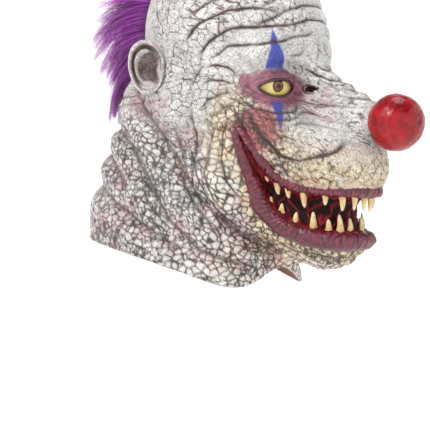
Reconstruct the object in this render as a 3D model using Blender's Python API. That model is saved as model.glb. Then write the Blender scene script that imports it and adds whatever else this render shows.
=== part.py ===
"""Over-the-head latex clown mask: a thin moulded shell with a neck skirt, a closed mouth
lining with separate teeth, two eye domes, a round nose and a glued-on strip of hair.

Frame: metres, +Z up, the face looks towards -Y. The origin is on the inside of the crown,
where the wearer's head meets the mask.

The shell is worked out from a few blended round forms. Rays leave a line inside the head,
and each one stops on the outside of the blended form, which gives a clean grid of rows
(crown to rim) and columns (round the head). Tables below are in millimetres and degrees,
in design axes: x sideways, f forward (-Y), z up.
"""
import math

import bmesh
import bpy
import numpy as np
from mathutils import Vector

for old in list(bpy.data.objects):
    bpy.data.objects.remove(old)

MM = 0.001
WALL = 2.5             # latex wall
GAP = 0.35             # gap kept between neighbouring pieces
COLUMNS, ROWS = 48, 38  # grid of the shell

NOSE_CENTRE = (0.0, 257.0, -234.0)
NOSE_RADIUS = 38.0
EYE_CENTRE = (54.0, 92.0, -184.0)    # left eye; the right one is its mirror
EYE_RADII = (39.0, 36.0, 34.0)       # outside of the lids
EYE_TURN, EYE_DROP = 27.0, 5.0       # the way an eye looks: outwards, and down
EYE_OPEN = (28.0, 11.5)              # half width and half height of the lid opening
PEEP_CENTRE = (18.0, 132.0, -192.0)  # wearer's sight hole beside the bridge of the nose
PEEP_RADII = (6.5, 30.0, 9.0)
EAR_CENTRE = (95.0, -66.0, -160.0)
EAR_HALF = (9.0, 27.0, 37.0)         # half thickness, half width, half height
EAR_TURN = 24.0                      # the ear's face turns forward by this

# Rows of the grid: v from crown to rim, where the ray starts, how far it climbs, and how much
# higher it starts at the front.
SECTIONS = [  # v, start_f, start_z, climb_front, climb_side, climb_back, rise_front
    (0.00,   6,  -94,  90,  90,  90,   0),
    (0.10,   6,  -94,  44,  44,  44,   0),
    (0.18,   6,  -96,  12,  12,  12,   0),
    (0.24,   8, -102,  -2,  -1,   0,   0),
    (0.32,  12, -120,  -9,  -4,   0,   0),
    (0.42,  18, -140, -17,  -9,  -1,   0),
    (0.52,  24, -158, -26, -19,  -1,   0),
    (0.62,  26, -178, -37, -30,  -1,   0),
    (0.72,  24, -206, -50, -37,  -1,   2),
    (0.79,  12, -244, -62, -36,  -1,  10),
    (0.85,   0, -296, -57, -26,   0,  28),
    (0.90,  -6, -334, -52, -21,   1,  42),
    (0.95,  -9, -364, -48, -18,   1,  52),
    (1.00, -12, -392, -43, -15,   2,  60),
]

# Neck skirt: level ovals that widen towards the shoulders.
NECK = [  # z, centre_f, half_x, half_f, extra at the two front corners
    (-480, -58, 132, 142, 18),
    (-400, -58, 127, 139, 14),
    (-355, -58, 120, 138, 10),
    (-270, -46, 102, 122,  2),
    (-190, -36,  88, 106,  0),
    (-120, -20,  66,  84,  0),
]

# Drape folds: creases seen from the side, from the nape down to the throat.
FOLDS = [  # name, depth, width, (f, z) points
    ("under_jaw", 7, 10, ((-112, -176), (-84, -208), (-46, -246), (-8, -292), (30, -340), (64, -378), (92, -398))),
    ("mid_neck",  6, 11, ((-210, -226), (-150, -234), (-96, -262), (-58, -306), (-20, -362), (24, -402), (66, -420))),
    ("low_neck",  6, 11, ((-230, -306), (-176, -312), (-130, -330), (-85, -352), (-44, -376), (-10, -396))),
    ("nape",       5, 8, ((-200, -268), (-160, -270), (-124, -288), (-92, -318))),
]

# Round forms of the head, blended in this order: kind, mirrored, where, size, blend width.
HEAD_FORMS = [  # name, mirrored, centre (x, f, z), radii (x, f, z), blend
    ("forehead",   False, (0, 62, -132), (94, 82, 62), 30),
    ("mid_face",   False, (0, 52, -225), (103, 90, 100), 34),
    ("cheek",      True,  (66, 100, -238), (42, 44, 36), 22),
    ("jaw_angle",  True,  (76, 34, -316), (38, 58, 50), 28),
]
BARS = [  # name, mirrored, start (x, f, z), end (x, f, z), radius at start and end, widening, blend
    ("upper_jaw",  False, (0, 80, -262), (0, 178, -290), 72, 58, 1.30, 30),
    ("lower_jaw",  False, (0, 60, -330), (0, 158, -378), 68, 50, 1.26, 22),
    ("brow",       True,  (15, 127, -150), (86, 98, -144), 21, 17, 1.0, 16),
    ("bridge",     False, (0, 110, -160), (0, 212, -230), 18, 27, 1.0, 24),
]

# Grin, by the angle round the muzzle from its middle.
GRIN_PIVOT_F = 40.0
GRIN = [  # angle, middle z, half opening
    (0,  -356, 24.0),
    (14, -355, 24.0),
    (28, -349, 22.5),
    (40, -336, 19.0),
    (50, -316, 14.0),
    (58, -292, 9.0),
    (65, -264, 4.5),
    (69, -246, 1.5),
]
LINING_EDGE, LINING_DEEP, LINING_WALL = 12.6, 3.0, 2.0  # pocket behind the lips, how much deeper its middle is, wall

LIP = [(1.8, -2.5), (1.0, 3.5), (2.7, 6.6), (6.5, 7.6), (10.5, 5.8), (13.5, 1.8), (14.0, -2.5)]  # section: away from the opening, off the skin

# Teeth, by their angle round the muzzle; each row is mirrored.
UPPER_TEETH = [  # angle, length, root radius, lean
    (3.2, 27.5, 4.2, 0), (9.6, 23.0, 3.9, 2), (16.2, 26.5, 4.2, -2), (22.8, 21.0, 3.9, 2),
    (29.4, 24.0, 4.0, -3), (36.2, 18.5, 3.6, 2), (42.8, 17.5, 3.4, -2), (49.2, 13.0, 3.0, 0),
]
LOWER_TEETH = [
    (6.4, 22.0, 3.9, -2), (13.0, 24.0, 4.1, 2), (19.6, 20.0, 3.9, -2), (26.4, 22.0, 3.9, 2),
    (33.2, 17.5, 3.6, -2), (40.0, 15.5, 3.4, 2), (46.4, 12.0, 3.0, 0),
]
TOOTH_WIDE = 1.32  # width of a tooth against its depth

# Hair strip along the middle of the head, from above the forehead to the nape.
HAIR = [  # place along it, root angle round the skull, hair length, angle the hair leaves at, half width
    (0.00,  66,  34,  84, 10),
    (0.15,  82,  56, 100, 15),
    (0.35, 106,  74, 122, 19),
    (0.55, 134,  86, 152, 21),
    (0.72, 160,  88, 182, 22),
    (0.87, 184, 100, 222, 21),
    (1.00, 204, 100, 250, 15),
]
SKULL_F, SKULL_Z = 14.0, -94.0
SKULL_RADII = (103, 121, 94)


# ---------------------------------------------------------------- shape functions

def column(table, index):
    return np.array([row[index] for row in table], float)


def curve_through(table, index, at, key=0):
    """A smooth curve through one column of a table, which never overshoots its rows."""
    xs, ys = column(table, key), column(table, index)
    slope = np.gradient(ys, xs)
    step = np.diff(ys) / np.diff(xs)
    for k, s in enumerate(step):
        for j in (k, k + 1):
            if s == 0 or slope[j] / s < 0:
                slope[j] = 0
            elif slope[j] / s > 3:
                slope[j] = 3 * s
    at = np.clip(at, xs[0], xs[-1])
    k = np.clip(np.searchsorted(xs, at, side="right") - 1, 0, len(xs) - 2)
    h = xs[k + 1] - xs[k]
    t = (at - xs[k]) / h
    return ((2 * t**3 - 3 * t**2 + 1) * ys[k] + (t**3 - 2 * t**2 + t) * h * slope[k]
            + (3 * t**2 - 2 * t**3) * ys[k + 1] + (t**3 - t**2) * h * slope[k + 1])


def ball_form(x, f, z, centre, radii):
    """Roughly the distance to an ellipsoid, negative inside."""
    p = [(x - centre[0]) / radii[0], (f - centre[1]) / radii[1], (z - centre[2]) / radii[2]]
    a = np.sqrt(p[0]**2 + p[1]**2 + p[2]**2)
    b = np.sqrt((p[0] / radii[0])**2 + (p[1] / radii[1])**2 + (p[2] / radii[2])**2)
    return a * (a - 1) / np.maximum(b, 1e-9)


def bar_form(x, f, z, start, end, r0, r1, widen):
    """Distance to a tapered bar with round ends."""
    px, pf, pz = (x - start[0]) / widen, f - start[1], z - start[2]
    d = ((end[0] - start[0]) / widen, end[1] - start[1], end[2] - start[2])
    t = np.clip((px * d[0] + pf * d[1] + pz * d[2]) / (d[0]**2 + d[1]**2 + d[2]**2), 0, 1)
    return np.sqrt((px - t * d[0])**2 + (pf - t * d[1])**2 + (pz - t * d[2])**2) - (r0 + (r1 - r0) * t)


def blend(a, b, width):
    h = np.maximum(width - np.abs(a - b), 0) / width
    return np.minimum(a, b) - h * h * width / 4


def carve(a, b, width):
    return -blend(-a, -b, width)


def neck_form(x, f, z):
    centre, half_x, half_f, corner = (curve_through(NECK, i, z) for i in (1, 2, 3, 4))
    angle = np.degrees(np.arctan2(np.abs(x), f - centre))
    more = corner * np.exp(-((angle - 36) / 22)**2)
    q = np.sqrt((x / (half_x + more))**2 + ((f - centre) / (half_f + more))**2)
    return carve((q - 1) * np.minimum(half_x, half_f), z + 110, 40)


def distance_to_line(f, z, points):
    best = np.full(np.shape(f), 1e12)
    for (f0, z0), (f1, z1) in zip(points[:-1], points[1:]):
        t = np.clip(((f - f0) * (f1 - f0) + (z - z0) * (z1 - z0)) / ((f1 - f0)**2 + (z1 - z0)**2), 0, 1)
        best = np.minimum(best, (f - f0 - t * (f1 - f0))**2 + (z - z0 - t * (z1 - z0))**2)
    return np.sqrt(best)


def head_form(x, f, z):
    """Roughly the distance to the outside of the mask, negative inside."""
    ax = np.abs(x)
    d = ball_form(x, f, z, (0, SKULL_F, SKULL_Z), SKULL_RADII)
    first, *others = HEAD_FORMS
    d = blend(d, ball_form(x, f, z, first[2], first[3]), first[4])
    d = blend(d, neck_form(x, f, z), 38)
    for _, mirrored, centre, radii, width in others[:1]:
        d = blend(d, ball_form(x, f, z, centre, radii), width)
    for _, mirrored, start, end, r0, r1, widen, width in BARS:
        d = blend(d, bar_form(ax if mirrored else x, f, z, start, end, r0, r1, widen), width)
    for _, mirrored, centre, radii, width in others[1:]:
        d = blend(d, ball_form(ax if mirrored else x, f, z, centre, radii), width)
    d = carve(d, -ball_form(ax, f, z, (60, 142, -182), (36, 33, 28)), 14)   # eye sockets
    d = blend(d, ball_form(ax, f, z, EYE_CENTRE, EYE_RADII), 6)             # lids
    for _, depth, width, points in FOLDS:
        r = distance_to_line(f, z, points)
        d = d + depth * np.exp(-(r / width)**2) - 0.35 * depth * np.exp(-((r - 2.4 * width) / (1.3 * width))**2)
    return d


def outside(u, v, lift=0.0):
    """Where the ray of column angle u and row v leaves the mask: x, f, z."""
    start_f, start_z, front, side, back, rise = (curve_through(SECTIONS, i, v) for i in range(1, 7))
    start_z = start_z + rise * ((1 + np.cos(u)) / 2)**6
    climb = ((front + 2 * side + back) / 4 + (front - back) / 2 * np.cos(u)
             + (front - 2 * side + back) / 4 * np.cos(2 * u))
    climb = np.radians(climb)
    d = (np.sin(u) * np.cos(climb), np.cos(u) * np.cos(climb), np.sin(climb))
    t = np.full(u.shape, 430.0)
    for _ in range(90):
        s = head_form(d[0] * t, start_f + d[1] * t, start_z + d[2] * t) - lift
        t = t - 0.7 * s
        if np.abs(s).max() < 0.01:
            break
    return np.stack([d[0] * t, start_f + d[1] * t, start_z + d[2] * t], -1)


def columns_and_rows():
    """Column angles, closer together on the face, and row values."""
    s = np.linspace(-1, 1, COLUMNS + 1)[:-1]
    return math.pi * (0.45 * s + 0.55 * s**3), np.linspace(0, 1, ROWS + 1)[1:]


def skin_grid():
    """The shell's outside as a grid of points, and the grid's own normals."""
    u, v = columns_and_rows()
    rows, columns = np.meshgrid(v, u, indexing="ij")
    skin = outside(columns, rows)
    above = np.concatenate([np.broadcast_to([0.0, 6.0, WALL], skin[:1].shape), skin[:-1]])
    below = np.concatenate([skin[1:], 2 * skin[-1:] - skin[-2:-1]])
    normal = np.cross(np.roll(skin, -1, 1) - np.roll(skin, 1, 1), above - below)
    normal /= np.linalg.norm(normal, axis=-1, keepdims=True)
    if (normal[ROWS // 2] * (skin[ROWS // 2] - [0, 20, -150])).sum() < 0:
        normal = -normal
    return skin, normal


def outward(points):
    """Unit normals of the head form at points."""
    h = 0.8
    g = np.stack([
        head_form(points[..., 0] + dx, points[..., 1] + df, points[..., 2] + dz)
        - head_form(points[..., 0] - dx, points[..., 1] - df, points[..., 2] - dz)
        for dx, df, dz in ((h, 0, 0), (0, h, 0), (0, 0, h))], -1)
    return g / np.linalg.norm(g, axis=-1, keepdims=True)


def grin(angle_deg):
    a = np.abs(angle_deg)
    return curve_through(GRIN, 1, a), curve_through(GRIN, 2, a)


# ---------------------------------------------------------------- Blender helpers

def material(name, colour, roughness, metallic=0.0):
    m = bpy.data.materials.new(name)
    m.use_nodes = True
    shader = m.node_tree.nodes["Principled BSDF"]
    shader.inputs["Base Color"].default_value = (*colour, 1)
    shader.inputs["Roughness"].default_value = roughness
    shader.inputs["Metallic"].default_value = metallic
    return m


def to_world(points):
    """Design axes in millimetres to metres."""
    p = np.asarray(points, float)
    return np.stack([p[..., 0], -p[..., 1], p[..., 2]], -1) * MM


def make(name, points, faces, mat, smooth=True):
    mesh = bpy.data.meshes.new(name)
    mesh.from_pydata(to_world(points).reshape(-1, 3).tolist(), [], faces)
    bm = bmesh.new()
    bm.from_mesh(mesh)
    bmesh.ops.triangulate(bm, faces=bm.faces)
    bmesh.ops.recalc_face_normals(bm, faces=bm.faces)
    if bm.calc_volume(signed=True) < 0:
        bmesh.ops.reverse_faces(bm, faces=bm.faces)
    bm.to_mesh(mesh)
    bm.free()
    if smooth:
        mesh.shade_smooth()
        mesh.set_sharp_from_angle(angle=math.radians(50))
    obj = bpy.data.objects.new(name, mesh)
    bpy.context.scene.collection.objects.link(obj)
    if mat:
        mesh.materials.append(mat)
    return obj


def helper(name, points, faces):
    obj = make(name, points, faces, None, smooth=False)
    obj.hide_render = True
    obj.display_type = "WIRE"
    return obj


def boolean(obj, other, operation):
    modifier = obj.modifiers.new(operation.lower(), "BOOLEAN")
    modifier.operation = operation
    modifier.solver = "EXACT"
    modifier.object = other


def ring_faces(rows, columns, closed=True, flip=False):
    faces = []
    for r in range(rows - 1):
        for c in range(columns if closed else columns - 1):
            d = (c + 1) % columns
            quad = (r * columns + c, (r + 1) * columns + c, (r + 1) * columns + d, r * columns + d)
            faces.append(quad[::-1] if flip else quad)
    return faces


def rings_solid(name, rings, mat, smooth=True):
    """A closed loft through rings of equal length, its ends capped."""
    count, size = len(rings), len(rings[0])
    faces = ring_faces(count, size)
    faces += [tuple(range(size)), tuple(reversed(range((count - 1) * size, count * size)))]
    points = np.concatenate([np.asarray(r, float) for r in rings])
    return make(name, points, faces, mat, smooth) if mat else helper(name, points, faces)


def head_solid(name, lift):
    """The whole outside of the head as one closed body, swollen by lift. It trims what sits on the head."""
    skin, normal = skin_grid()
    skin = skin + normal * lift
    points = np.concatenate([skin.reshape(-1, 3), [[0, 6, WALL + lift]], [[0, -12, -360]]])
    n = ROWS * COLUMNS
    faces = ring_faces(ROWS, COLUMNS)
    faces += [(n, c, (c + 1) % COLUMNS) for c in range(COLUMNS)]
    last = (ROWS - 1) * COLUMNS
    faces += [(n + 1, last + (c + 1) % COLUMNS, last + c) for c in range(COLUMNS)]
    return helper(name, points, faces)


def ellipsoid_rings(centre, radii, count=12, size=20, stop=180.0):
    """Rings of an ellipsoid along +f, from its front pole to the angle stop."""
    rings = []
    for k in range(count + 1):
        a = math.radians(2 + (stop - 4) * k / count)
        rings.append([(centre[0] + radii[0] * math.sin(a) * math.cos(b), centre[1] + radii[1] * math.cos(a),
                       centre[2] + radii[2] * math.sin(a) * math.sin(b))
                      for b in (2 * math.pi * j / size for j in range(size))])
    return rings


# ---------------------------------------------------------------- shell

def mask_shell(mat):
    skin, normal = skin_grid()
    inside = skin - normal * WALL
    n = ROWS * COLUMNS
    crown = [[0, 6, WALL], [0, 6, 0]]
    points = np.concatenate([skin.reshape(-1, 3), inside.reshape(-1, 3), crown])
    faces = ring_faces(ROWS, COLUMNS)
    faces += [tuple(n + i for i in quad) for quad in ring_faces(ROWS, COLUMNS, flip=True)]
    last = (ROWS - 1) * COLUMNS
    for c in range(COLUMNS):
        d = (c + 1) % COLUMNS
        faces += [(2 * n, c, d), (2 * n + 1, n + d, n + c), (last + c, n + last + c, n + last + d, last + d)]
    return make("mask_shell", points, faces, mat)


def grin_cutter():
    """A curved slab as wide as the grin, which opens the mouth through the wall."""
    rings = []
    for a in np.linspace(-69, 69, 47):
        middle, half = grin(a)
        half = max(float(half), 1.5)
        s, c = math.sin(math.radians(a)), math.cos(math.radians(a))
        reach = (50, 80, 110, 140, 170, 200, 240)
        rings.append([(s * r, GRIN_PIVOT_F + c * r, float(middle) + side * half)
                      for r, side in [(r, -1) for r in reach] + [(r, 1) for r in reversed(reach)]])
    return rings_solid("cut_grin", rings, None)


def lip_roll(mat):
    """A thick rounded roll all round the grin, lying on the outside of the shell."""
    half_turn = [(a, 1) for a in np.linspace(-67, 67, 33)] + [(a, -1) for a in np.linspace(67, -67, 33)]
    edge = []
    for a, side in half_turn:
        middle, half = (float(q) for q in grin(a))
        edge.append(muzzle_points(a, [middle + side * half])[0])
    edge = np.array(edge)
    normal = outward(edge)
    along = np.roll(edge, -2, 0) - np.roll(edge, 2, 0)
    away = np.cross(along, normal)
    away /= np.linalg.norm(away, axis=1, keepdims=True)
    rings = []
    for point, n, t, (a, side) in zip(edge, normal, away, half_turn):
        size = 0.55 + 0.45 * min(1.0, (69 - abs(a)) / 22)
        rings.append([point + t * (w * size) + n * (h * size) for w, h in LIP])
    count, size = len(rings), len(LIP)
    faces = [(r * size + k, ((r + 1) % count) * size + k, ((r + 1) % count) * size + (k + 1) % size, r * size + (k + 1) % size)
             for r in range(count) for k in range(size)]
    return make("lip_roll", np.concatenate(rings), faces, mat)


def eye_axis(side):
    t, p = math.radians(EYE_TURN), math.radians(EYE_DROP)
    return Vector((side * math.sin(t) * math.cos(p), math.cos(t) * math.cos(p), -math.sin(p)))


def eye_cutter(side):
    """An almond-shaped bar along the way the eye looks."""
    axis = eye_axis(side)
    across = Vector((axis.y, -axis.x, 0)).normalized() * side
    up = across.cross(axis) * side
    up = up if up.z > 0 else -up
    centre = Vector((side * EYE_CENTRE[0], EYE_CENTRE[1], EYE_CENTRE[2]))
    rings = []
    for depth in (8.0, 60.0):
        ring = []
        for j in range(20):
            b = 2 * math.pi * j / 20
            w = math.cos(b)
            h = math.copysign(abs(math.sin(b))**1.25, math.sin(b))
            p = centre + axis * depth + across * (EYE_OPEN[0] * w) + up * (EYE_OPEN[1] * h - 2.0)
            ring.append(tuple(p))
        rings.append(ring)
    return rings_solid("cut_eye", rings, None)


def ear_solid(side):
    """A cupped oval: rim rolled forward, hollow in the middle."""
    size, rings = 22, []
    turn = math.radians(EAR_TURN) * side
    profile = [  # share of the outline, height off the ear's plane
        (0.05, -3.0), (0.40, -3.2), (0.66, -1.0), (0.82, 5.0), (0.95, 8.0), (1.02, 4.0),
        (0.96, -2.0), (0.78, -8.0), (0.52, -13.0), (0.25, -20.0), (0.05, -21.0)]
    for share, height in profile:
        ring = []
        for j in range(size):
            b = 2 * math.pi * j / size
            narrow = 1.0 - 0.18 * (1 - math.sin(b)) / 2
            w = EAR_HALF[1] * share * math.cos(b) * narrow
            h = EAR_HALF[2] * share * math.sin(b)
            # the ear's plane: w runs forward, h up, height outwards
            out = side * (height * math.cos(turn * side))
            x = side * EAR_CENTRE[0] + out + side * w * -math.sin(abs(turn))
            f = EAR_CENTRE[1] + w * math.cos(turn) + height * math.sin(abs(turn))
            ring.append((x, f, EAR_CENTRE[2] + h - 0.10 * w))
        rings.append(ring)
    return rings_solid("join_ear_left" if side > 0 else "join_ear_right", rings, None)


# ---------------------------------------------------------------- mouth

def mouth_lining(mat):
    """The pocket behind the grin. Its edge lies on the inside of the shell."""
    angles = np.linspace(-76, 76, 41)
    shares = np.array([-1.0, -0.86, -0.7, -0.52, -0.3, -0.1, 0.1, 0.3, 0.52, 0.7, 0.86, 1.0])
    front, back = [], []
    for a in angles:
        middle, half = (float(q) for q in grin(a))
        reach = half + 17.0
        zs = middle + shares * reach
        beyond = np.abs(zs - middle) - half
        edge = np.clip((16.0 - beyond) / 9.0, 0, 1)
        edge = edge * edge * (3 - 2 * edge)
        end = np.clip((76 - abs(a)) / 8, 0, 1)
        end = end * end * (3 - 2 * end)
        deep = np.clip(1 - (np.abs(zs - middle) / max(half, 1.0))**2, 0, 1) * half / 24
        depth = WALL + GAP + 0.35 + end * (edge * (LINING_EDGE - WALL) + deep * LINING_DEEP)
        front.append(muzzle_points(a, zs, -depth))
        back.append(muzzle_points(a, zs, -depth - LINING_WALL))
    rings = [np.concatenate([f, b[::-1]]) for f, b in zip(front, back)]
    return rings_solid("mouth_lining", rings, mat)


def muzzle_points(angle, zs, lift=0.0):
    """Points on the muzzle at one angle round it, at the heights zs, lifted off its outside by lift."""
    s, c = math.sin(math.radians(angle)), math.cos(math.radians(angle))
    zs = np.asarray(zs, float)
    r = np.full(len(zs), 300.0)
    for _ in range(90):
        d = head_form(s * r, GRIN_PIVOT_F + c * r, zs) - lift
        r = r - 0.6 * d
        if np.abs(d).max() < 0.01:
            break
    return np.stack([s * r, GRIN_PIVOT_F + c * r, zs], -1)


def tooth(name, angle, length, radius, lean, upper, mat):
    """A pointed peg, slightly bent, rooted in the pocket behind the lip."""
    middle, half = (float(q) for q in grin(angle))
    way = 1 if upper else -1
    root_z = middle + way * (half + 2.5)
    s, c = math.sin(math.radians(angle)), math.cos(math.radians(angle))
    base = muzzle_points(angle, [root_z])[0]
    normal = outward(base[None])[0]
    root = Vector(base - normal * (WALL + GAP + radius + 1.0))
    sideways = Vector((c, -s, 0)) * math.tan(math.radians(lean)) * length
    tip = root + Vector((0, 0, -way * length)) + sideways - Vector(normal) * (0.10 * length)
    rings, size = [], 10
    for share, swell in ((0.0, 0.86), (0.12, 1.0), (0.4, 0.86), (0.7, 0.56), (0.9, 0.26), (1.0, 0.08)):
        centre = root.lerp(tip, share)
        ring = []
        for j in range(size):
            b = 2 * math.pi * j / size
            wide, deep = TOOTH_WIDE * radius * swell * math.cos(b), 0.9 * radius * swell * math.sin(b)
            ring.append((centre.x + c * wide + s * deep, centre.y - s * wide + c * deep, centre.z))
        rings.append(ring)
    return rings_solid(name, rings, mat)


# ---------------------------------------------------------------- pieces on the head

def eye_dome(name, side, mat):
    """A shallow dome behind the lids, concentric with them."""
    clear = WALL + GAP + 0.25
    axis = eye_axis(side)
    centre = Vector((side * EYE_CENTRE[0], EYE_CENTRE[1], EYE_CENTRE[2]))
    turn = Vector((0, 1, 0)).rotation_difference(axis)
    outer = [r - clear for r in EYE_RADII]
    inner = [r - 2.2 for r in outer]
    rings = []
    steps = 8
    for k in range(steps + 1):
        rings.append(dome_ring(centre, outer, turn, 3 + 61 * k / steps))
    for k in range(steps, -1, -1):
        rings.append(dome_ring(centre, inner, turn, 3 + 61 * k / steps))
    return rings_solid(name, rings, mat)


def dome_ring(centre, radii, turn, angle, size=20):
    a = math.radians(angle)
    ring = []
    for j in range(size):
        b = 2 * math.pi * j / size
        d = Vector((math.sin(a) * math.cos(b), math.cos(a), math.sin(a) * math.sin(b)))
        d.rotate(turn)
        stretch = 1 / math.sqrt((d.x / radii[0])**2 + (d.y / radii[1])**2 + (d.z / radii[2])**2)
        ring.append(tuple(centre + d * stretch))
    return ring


def skull_reach(angle):
    """Distance from the skull's centre to the outside of the head in its middle plane."""
    a, r = math.radians(angle), 260.0
    for _ in range(80):
        r -= 0.7 * float(head_form(np.array(0.0), np.array(SKULL_F + r * math.cos(a)), np.array(SKULL_Z + r * math.sin(a))))
    return r


def hair_strip(mat):
    """The outer form of the hair: a fin along the middle of the head that falls at the back."""
    rings = []
    for t in np.linspace(0, 1, 17):
        root_angle, length, leave, half = (float(curve_through(HAIR, i, np.array(t))) for i in (1, 2, 3, 4))
        reach = skull_reach(root_angle) - 3.5
        ra, la = math.radians(root_angle), math.radians(leave)
        root = Vector((0, SKULL_F + reach * math.cos(ra), SKULL_Z + reach * math.sin(ra)))
        first, then = Vector((0, math.cos(ra), math.sin(ra))), Vector((0, math.cos(la), math.sin(la)))
        side = []
        for share, wide in ((0.0, 0.62), (0.2, 0.86), (0.45, 1.0), (0.72, 0.8), (0.92, 0.4), (1.0, 0.12)):
            p = root + first * (length * share * (1 - share)) + then * (length * share * share) + first * (length * 0.25 * share)
            side.append((p, half * wide))
        ring = [(w, p.y, p.z) for p, w in side] + [(-w, p.y, p.z) for p, w in reversed(side)]
        rings.append(ring)
    return rings_solid("hair_strip", rings, mat)


def build():
    latex = material("latex_white", (0.72, 0.71, 0.67), 0.55)
    red = material("nose_red", (0.62, 0.01, 0.015), 0.18)
    gum = material("gum_dark_red", (0.11, 0.012, 0.018), 0.35)
    plum = material("lip_plum", (0.30, 0.015, 0.04), 0.3)
    ivory = material("tooth_ivory", (0.75, 0.55, 0.27), 0.35)
    yellow = material("eye_yellow", (0.78, 0.72, 0.30), 0.2)
    purple = material("hair_purple", (0.30, 0.02, 0.42), 0.4)

    mould_out = head_solid("trim_outside", GAP)
    mould_wall = head_solid("trim_in_wall", -1.2)
    mould_in = head_solid("trim_inside", -WALL - GAP)

    shell = mask_shell(latex)
    boolean(shell, grin_cutter(), "DIFFERENCE")
    for side in (1, -1):
        boolean(shell, eye_cutter(side), "DIFFERENCE")
        centre = (side * PEEP_CENTRE[0], PEEP_CENTRE[1], PEEP_CENTRE[2])
        peep = rings_solid("cut_peep", ellipsoid_rings(centre, PEEP_RADII, count=10, size=16), None)
        boolean(shell, peep, "DIFFERENCE")
        ear = ear_solid(side)
        boolean(ear, mould_wall, "DIFFERENCE")
        boolean(shell, ear, "UNION")

    lips = lip_roll(plum)
    boolean(lips, mould_out, "DIFFERENCE")
    boolean(mouth_lining(gum), mould_in, "INTERSECT")
    for word, table, upper in (("upper", UPPER_TEETH, True), ("lower", LOWER_TEETH, False)):
        for side, letter in ((1, "l"), (-1, "r")):
            for k, (angle, length, radius, lean) in enumerate(table, 1):
                peg = tooth(f"tooth_{word}_{letter}{k}", side * angle, length, radius, side * lean, upper, ivory)
                boolean(peg, mould_in, "INTERSECT")

    for name, side in (("eye_left", 1), ("eye_right", -1)):
        boolean(eye_dome(name, side, yellow), mould_in, "INTERSECT")

    nose = rings_solid("nose_ball", ellipsoid_rings(NOSE_CENTRE, (NOSE_RADIUS,) * 3, count=16, size=28), red)
    boolean(nose, mould_out, "DIFFERENCE")
    hair = hair_strip(purple)
    boolean(hair, mould_out, "DIFFERENCE")


build()
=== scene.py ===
"""The looks of the over-the-head latex clown mask: aged white latex with grease-paint colours,
wrinkles, scales and drape folds, ribbed lips, stained teeth, wet eyes, a lacquered nose and
a strip of hair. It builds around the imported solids, which it never moves.

Tables are in millimetres and degrees in design axes: x sideways, f forward (-Y), z up.
"""
import math

import bpy
import numpy as np
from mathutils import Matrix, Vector


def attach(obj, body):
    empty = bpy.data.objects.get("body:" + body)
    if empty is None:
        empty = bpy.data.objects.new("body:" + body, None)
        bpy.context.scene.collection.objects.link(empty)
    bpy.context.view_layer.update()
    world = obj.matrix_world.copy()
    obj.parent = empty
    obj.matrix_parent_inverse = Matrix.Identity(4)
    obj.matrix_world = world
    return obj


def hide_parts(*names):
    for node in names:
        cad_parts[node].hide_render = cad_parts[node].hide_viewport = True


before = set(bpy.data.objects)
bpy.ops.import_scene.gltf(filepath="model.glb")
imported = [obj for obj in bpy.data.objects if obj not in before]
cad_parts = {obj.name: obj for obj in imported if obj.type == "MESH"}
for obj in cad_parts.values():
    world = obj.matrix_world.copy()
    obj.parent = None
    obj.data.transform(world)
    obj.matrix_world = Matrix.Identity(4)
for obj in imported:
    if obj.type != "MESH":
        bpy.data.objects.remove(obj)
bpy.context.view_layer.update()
MM = 0.001

WALL = 2.5             # latex wall
GAP = 0.35             # gap kept between neighbouring pieces

NOSE_CENTRE = (0.0, 257.0, -234.0)
NOSE_RADIUS = 38.0
EYE_CENTRE = (54.0, 92.0, -184.0)    # left eye; the right one is its mirror
EYE_RADII = (39.0, 36.0, 34.0)       # outside of the lids
EYE_TURN, EYE_DROP = 27.0, 5.0       # the way an eye looks: outwards, and down
EYE_OPEN = (28.0, 11.5)              # half width and half height of the lid opening
PEEP_CENTRE = (18.0, 132.0, -192.0)  # wearer's sight hole beside the bridge of the nose
PEEP_RADII = (6.5, 30.0, 9.0)
EAR_CENTRE = (95.0, -66.0, -160.0)
EAR_HALF = (9.0, 27.0, 37.0)         # half thickness, half width, half height
EAR_TURN = 24.0                      # the ear's face turns forward by this

# Rows of the grid: v from crown to rim, where the ray starts, how far it climbs, and how much
# higher it starts at the front.
SECTIONS = [  # v, start_f, start_z, climb_front, climb_side, climb_back, rise_front
    (0.00,   6,  -94,  90,  90,  90,   0),
    (0.10,   6,  -94,  44,  44,  44,   0),
    (0.18,   6,  -96,  12,  12,  12,   0),
    (0.24,   8, -102,  -2,  -1,   0,   0),
    (0.32,  12, -120,  -9,  -4,   0,   0),
    (0.42,  18, -140, -17,  -9,  -1,   0),
    (0.52,  24, -158, -26, -19,  -1,   0),
    (0.62,  26, -178, -37, -30,  -1,   0),
    (0.72,  24, -206, -50, -37,  -1,   2),
    (0.79,  12, -244, -62, -36,  -1,  10),
    (0.85,   0, -296, -57, -26,   0,  28),
    (0.90,  -6, -334, -52, -21,   1,  42),
    (0.95,  -9, -364, -48, -18,   1,  52),
    (1.00, -12, -392, -43, -15,   2,  60),
]

# Neck skirt: level ovals that widen towards the shoulders.
NECK = [  # z, centre_f, half_x, half_f, extra at the two front corners
    (-480, -58, 132, 142, 18),
    (-400, -58, 127, 139, 14),
    (-355, -58, 120, 138, 10),
    (-270, -46, 102, 122,  2),
    (-190, -36,  88, 106,  0),
    (-120, -20,  66,  84,  0),
]

# Drape folds: creases seen from the side, from the nape down to the throat.
FOLDS = [  # name, depth, width, (f, z) points
    ("under_jaw", 7, 10, ((-112, -176), (-84, -208), (-46, -246), (-8, -292), (30, -340), (64, -378), (92, -398))),
    ("mid_neck",  6, 11, ((-210, -226), (-150, -234), (-96, -262), (-58, -306), (-20, -362), (24, -402), (66, -420))),
    ("low_neck",  6, 11, ((-230, -306), (-176, -312), (-130, -330), (-85, -352), (-44, -376), (-10, -396))),
    ("nape",       5, 8, ((-200, -268), (-160, -270), (-124, -288), (-92, -318))),
]

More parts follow.
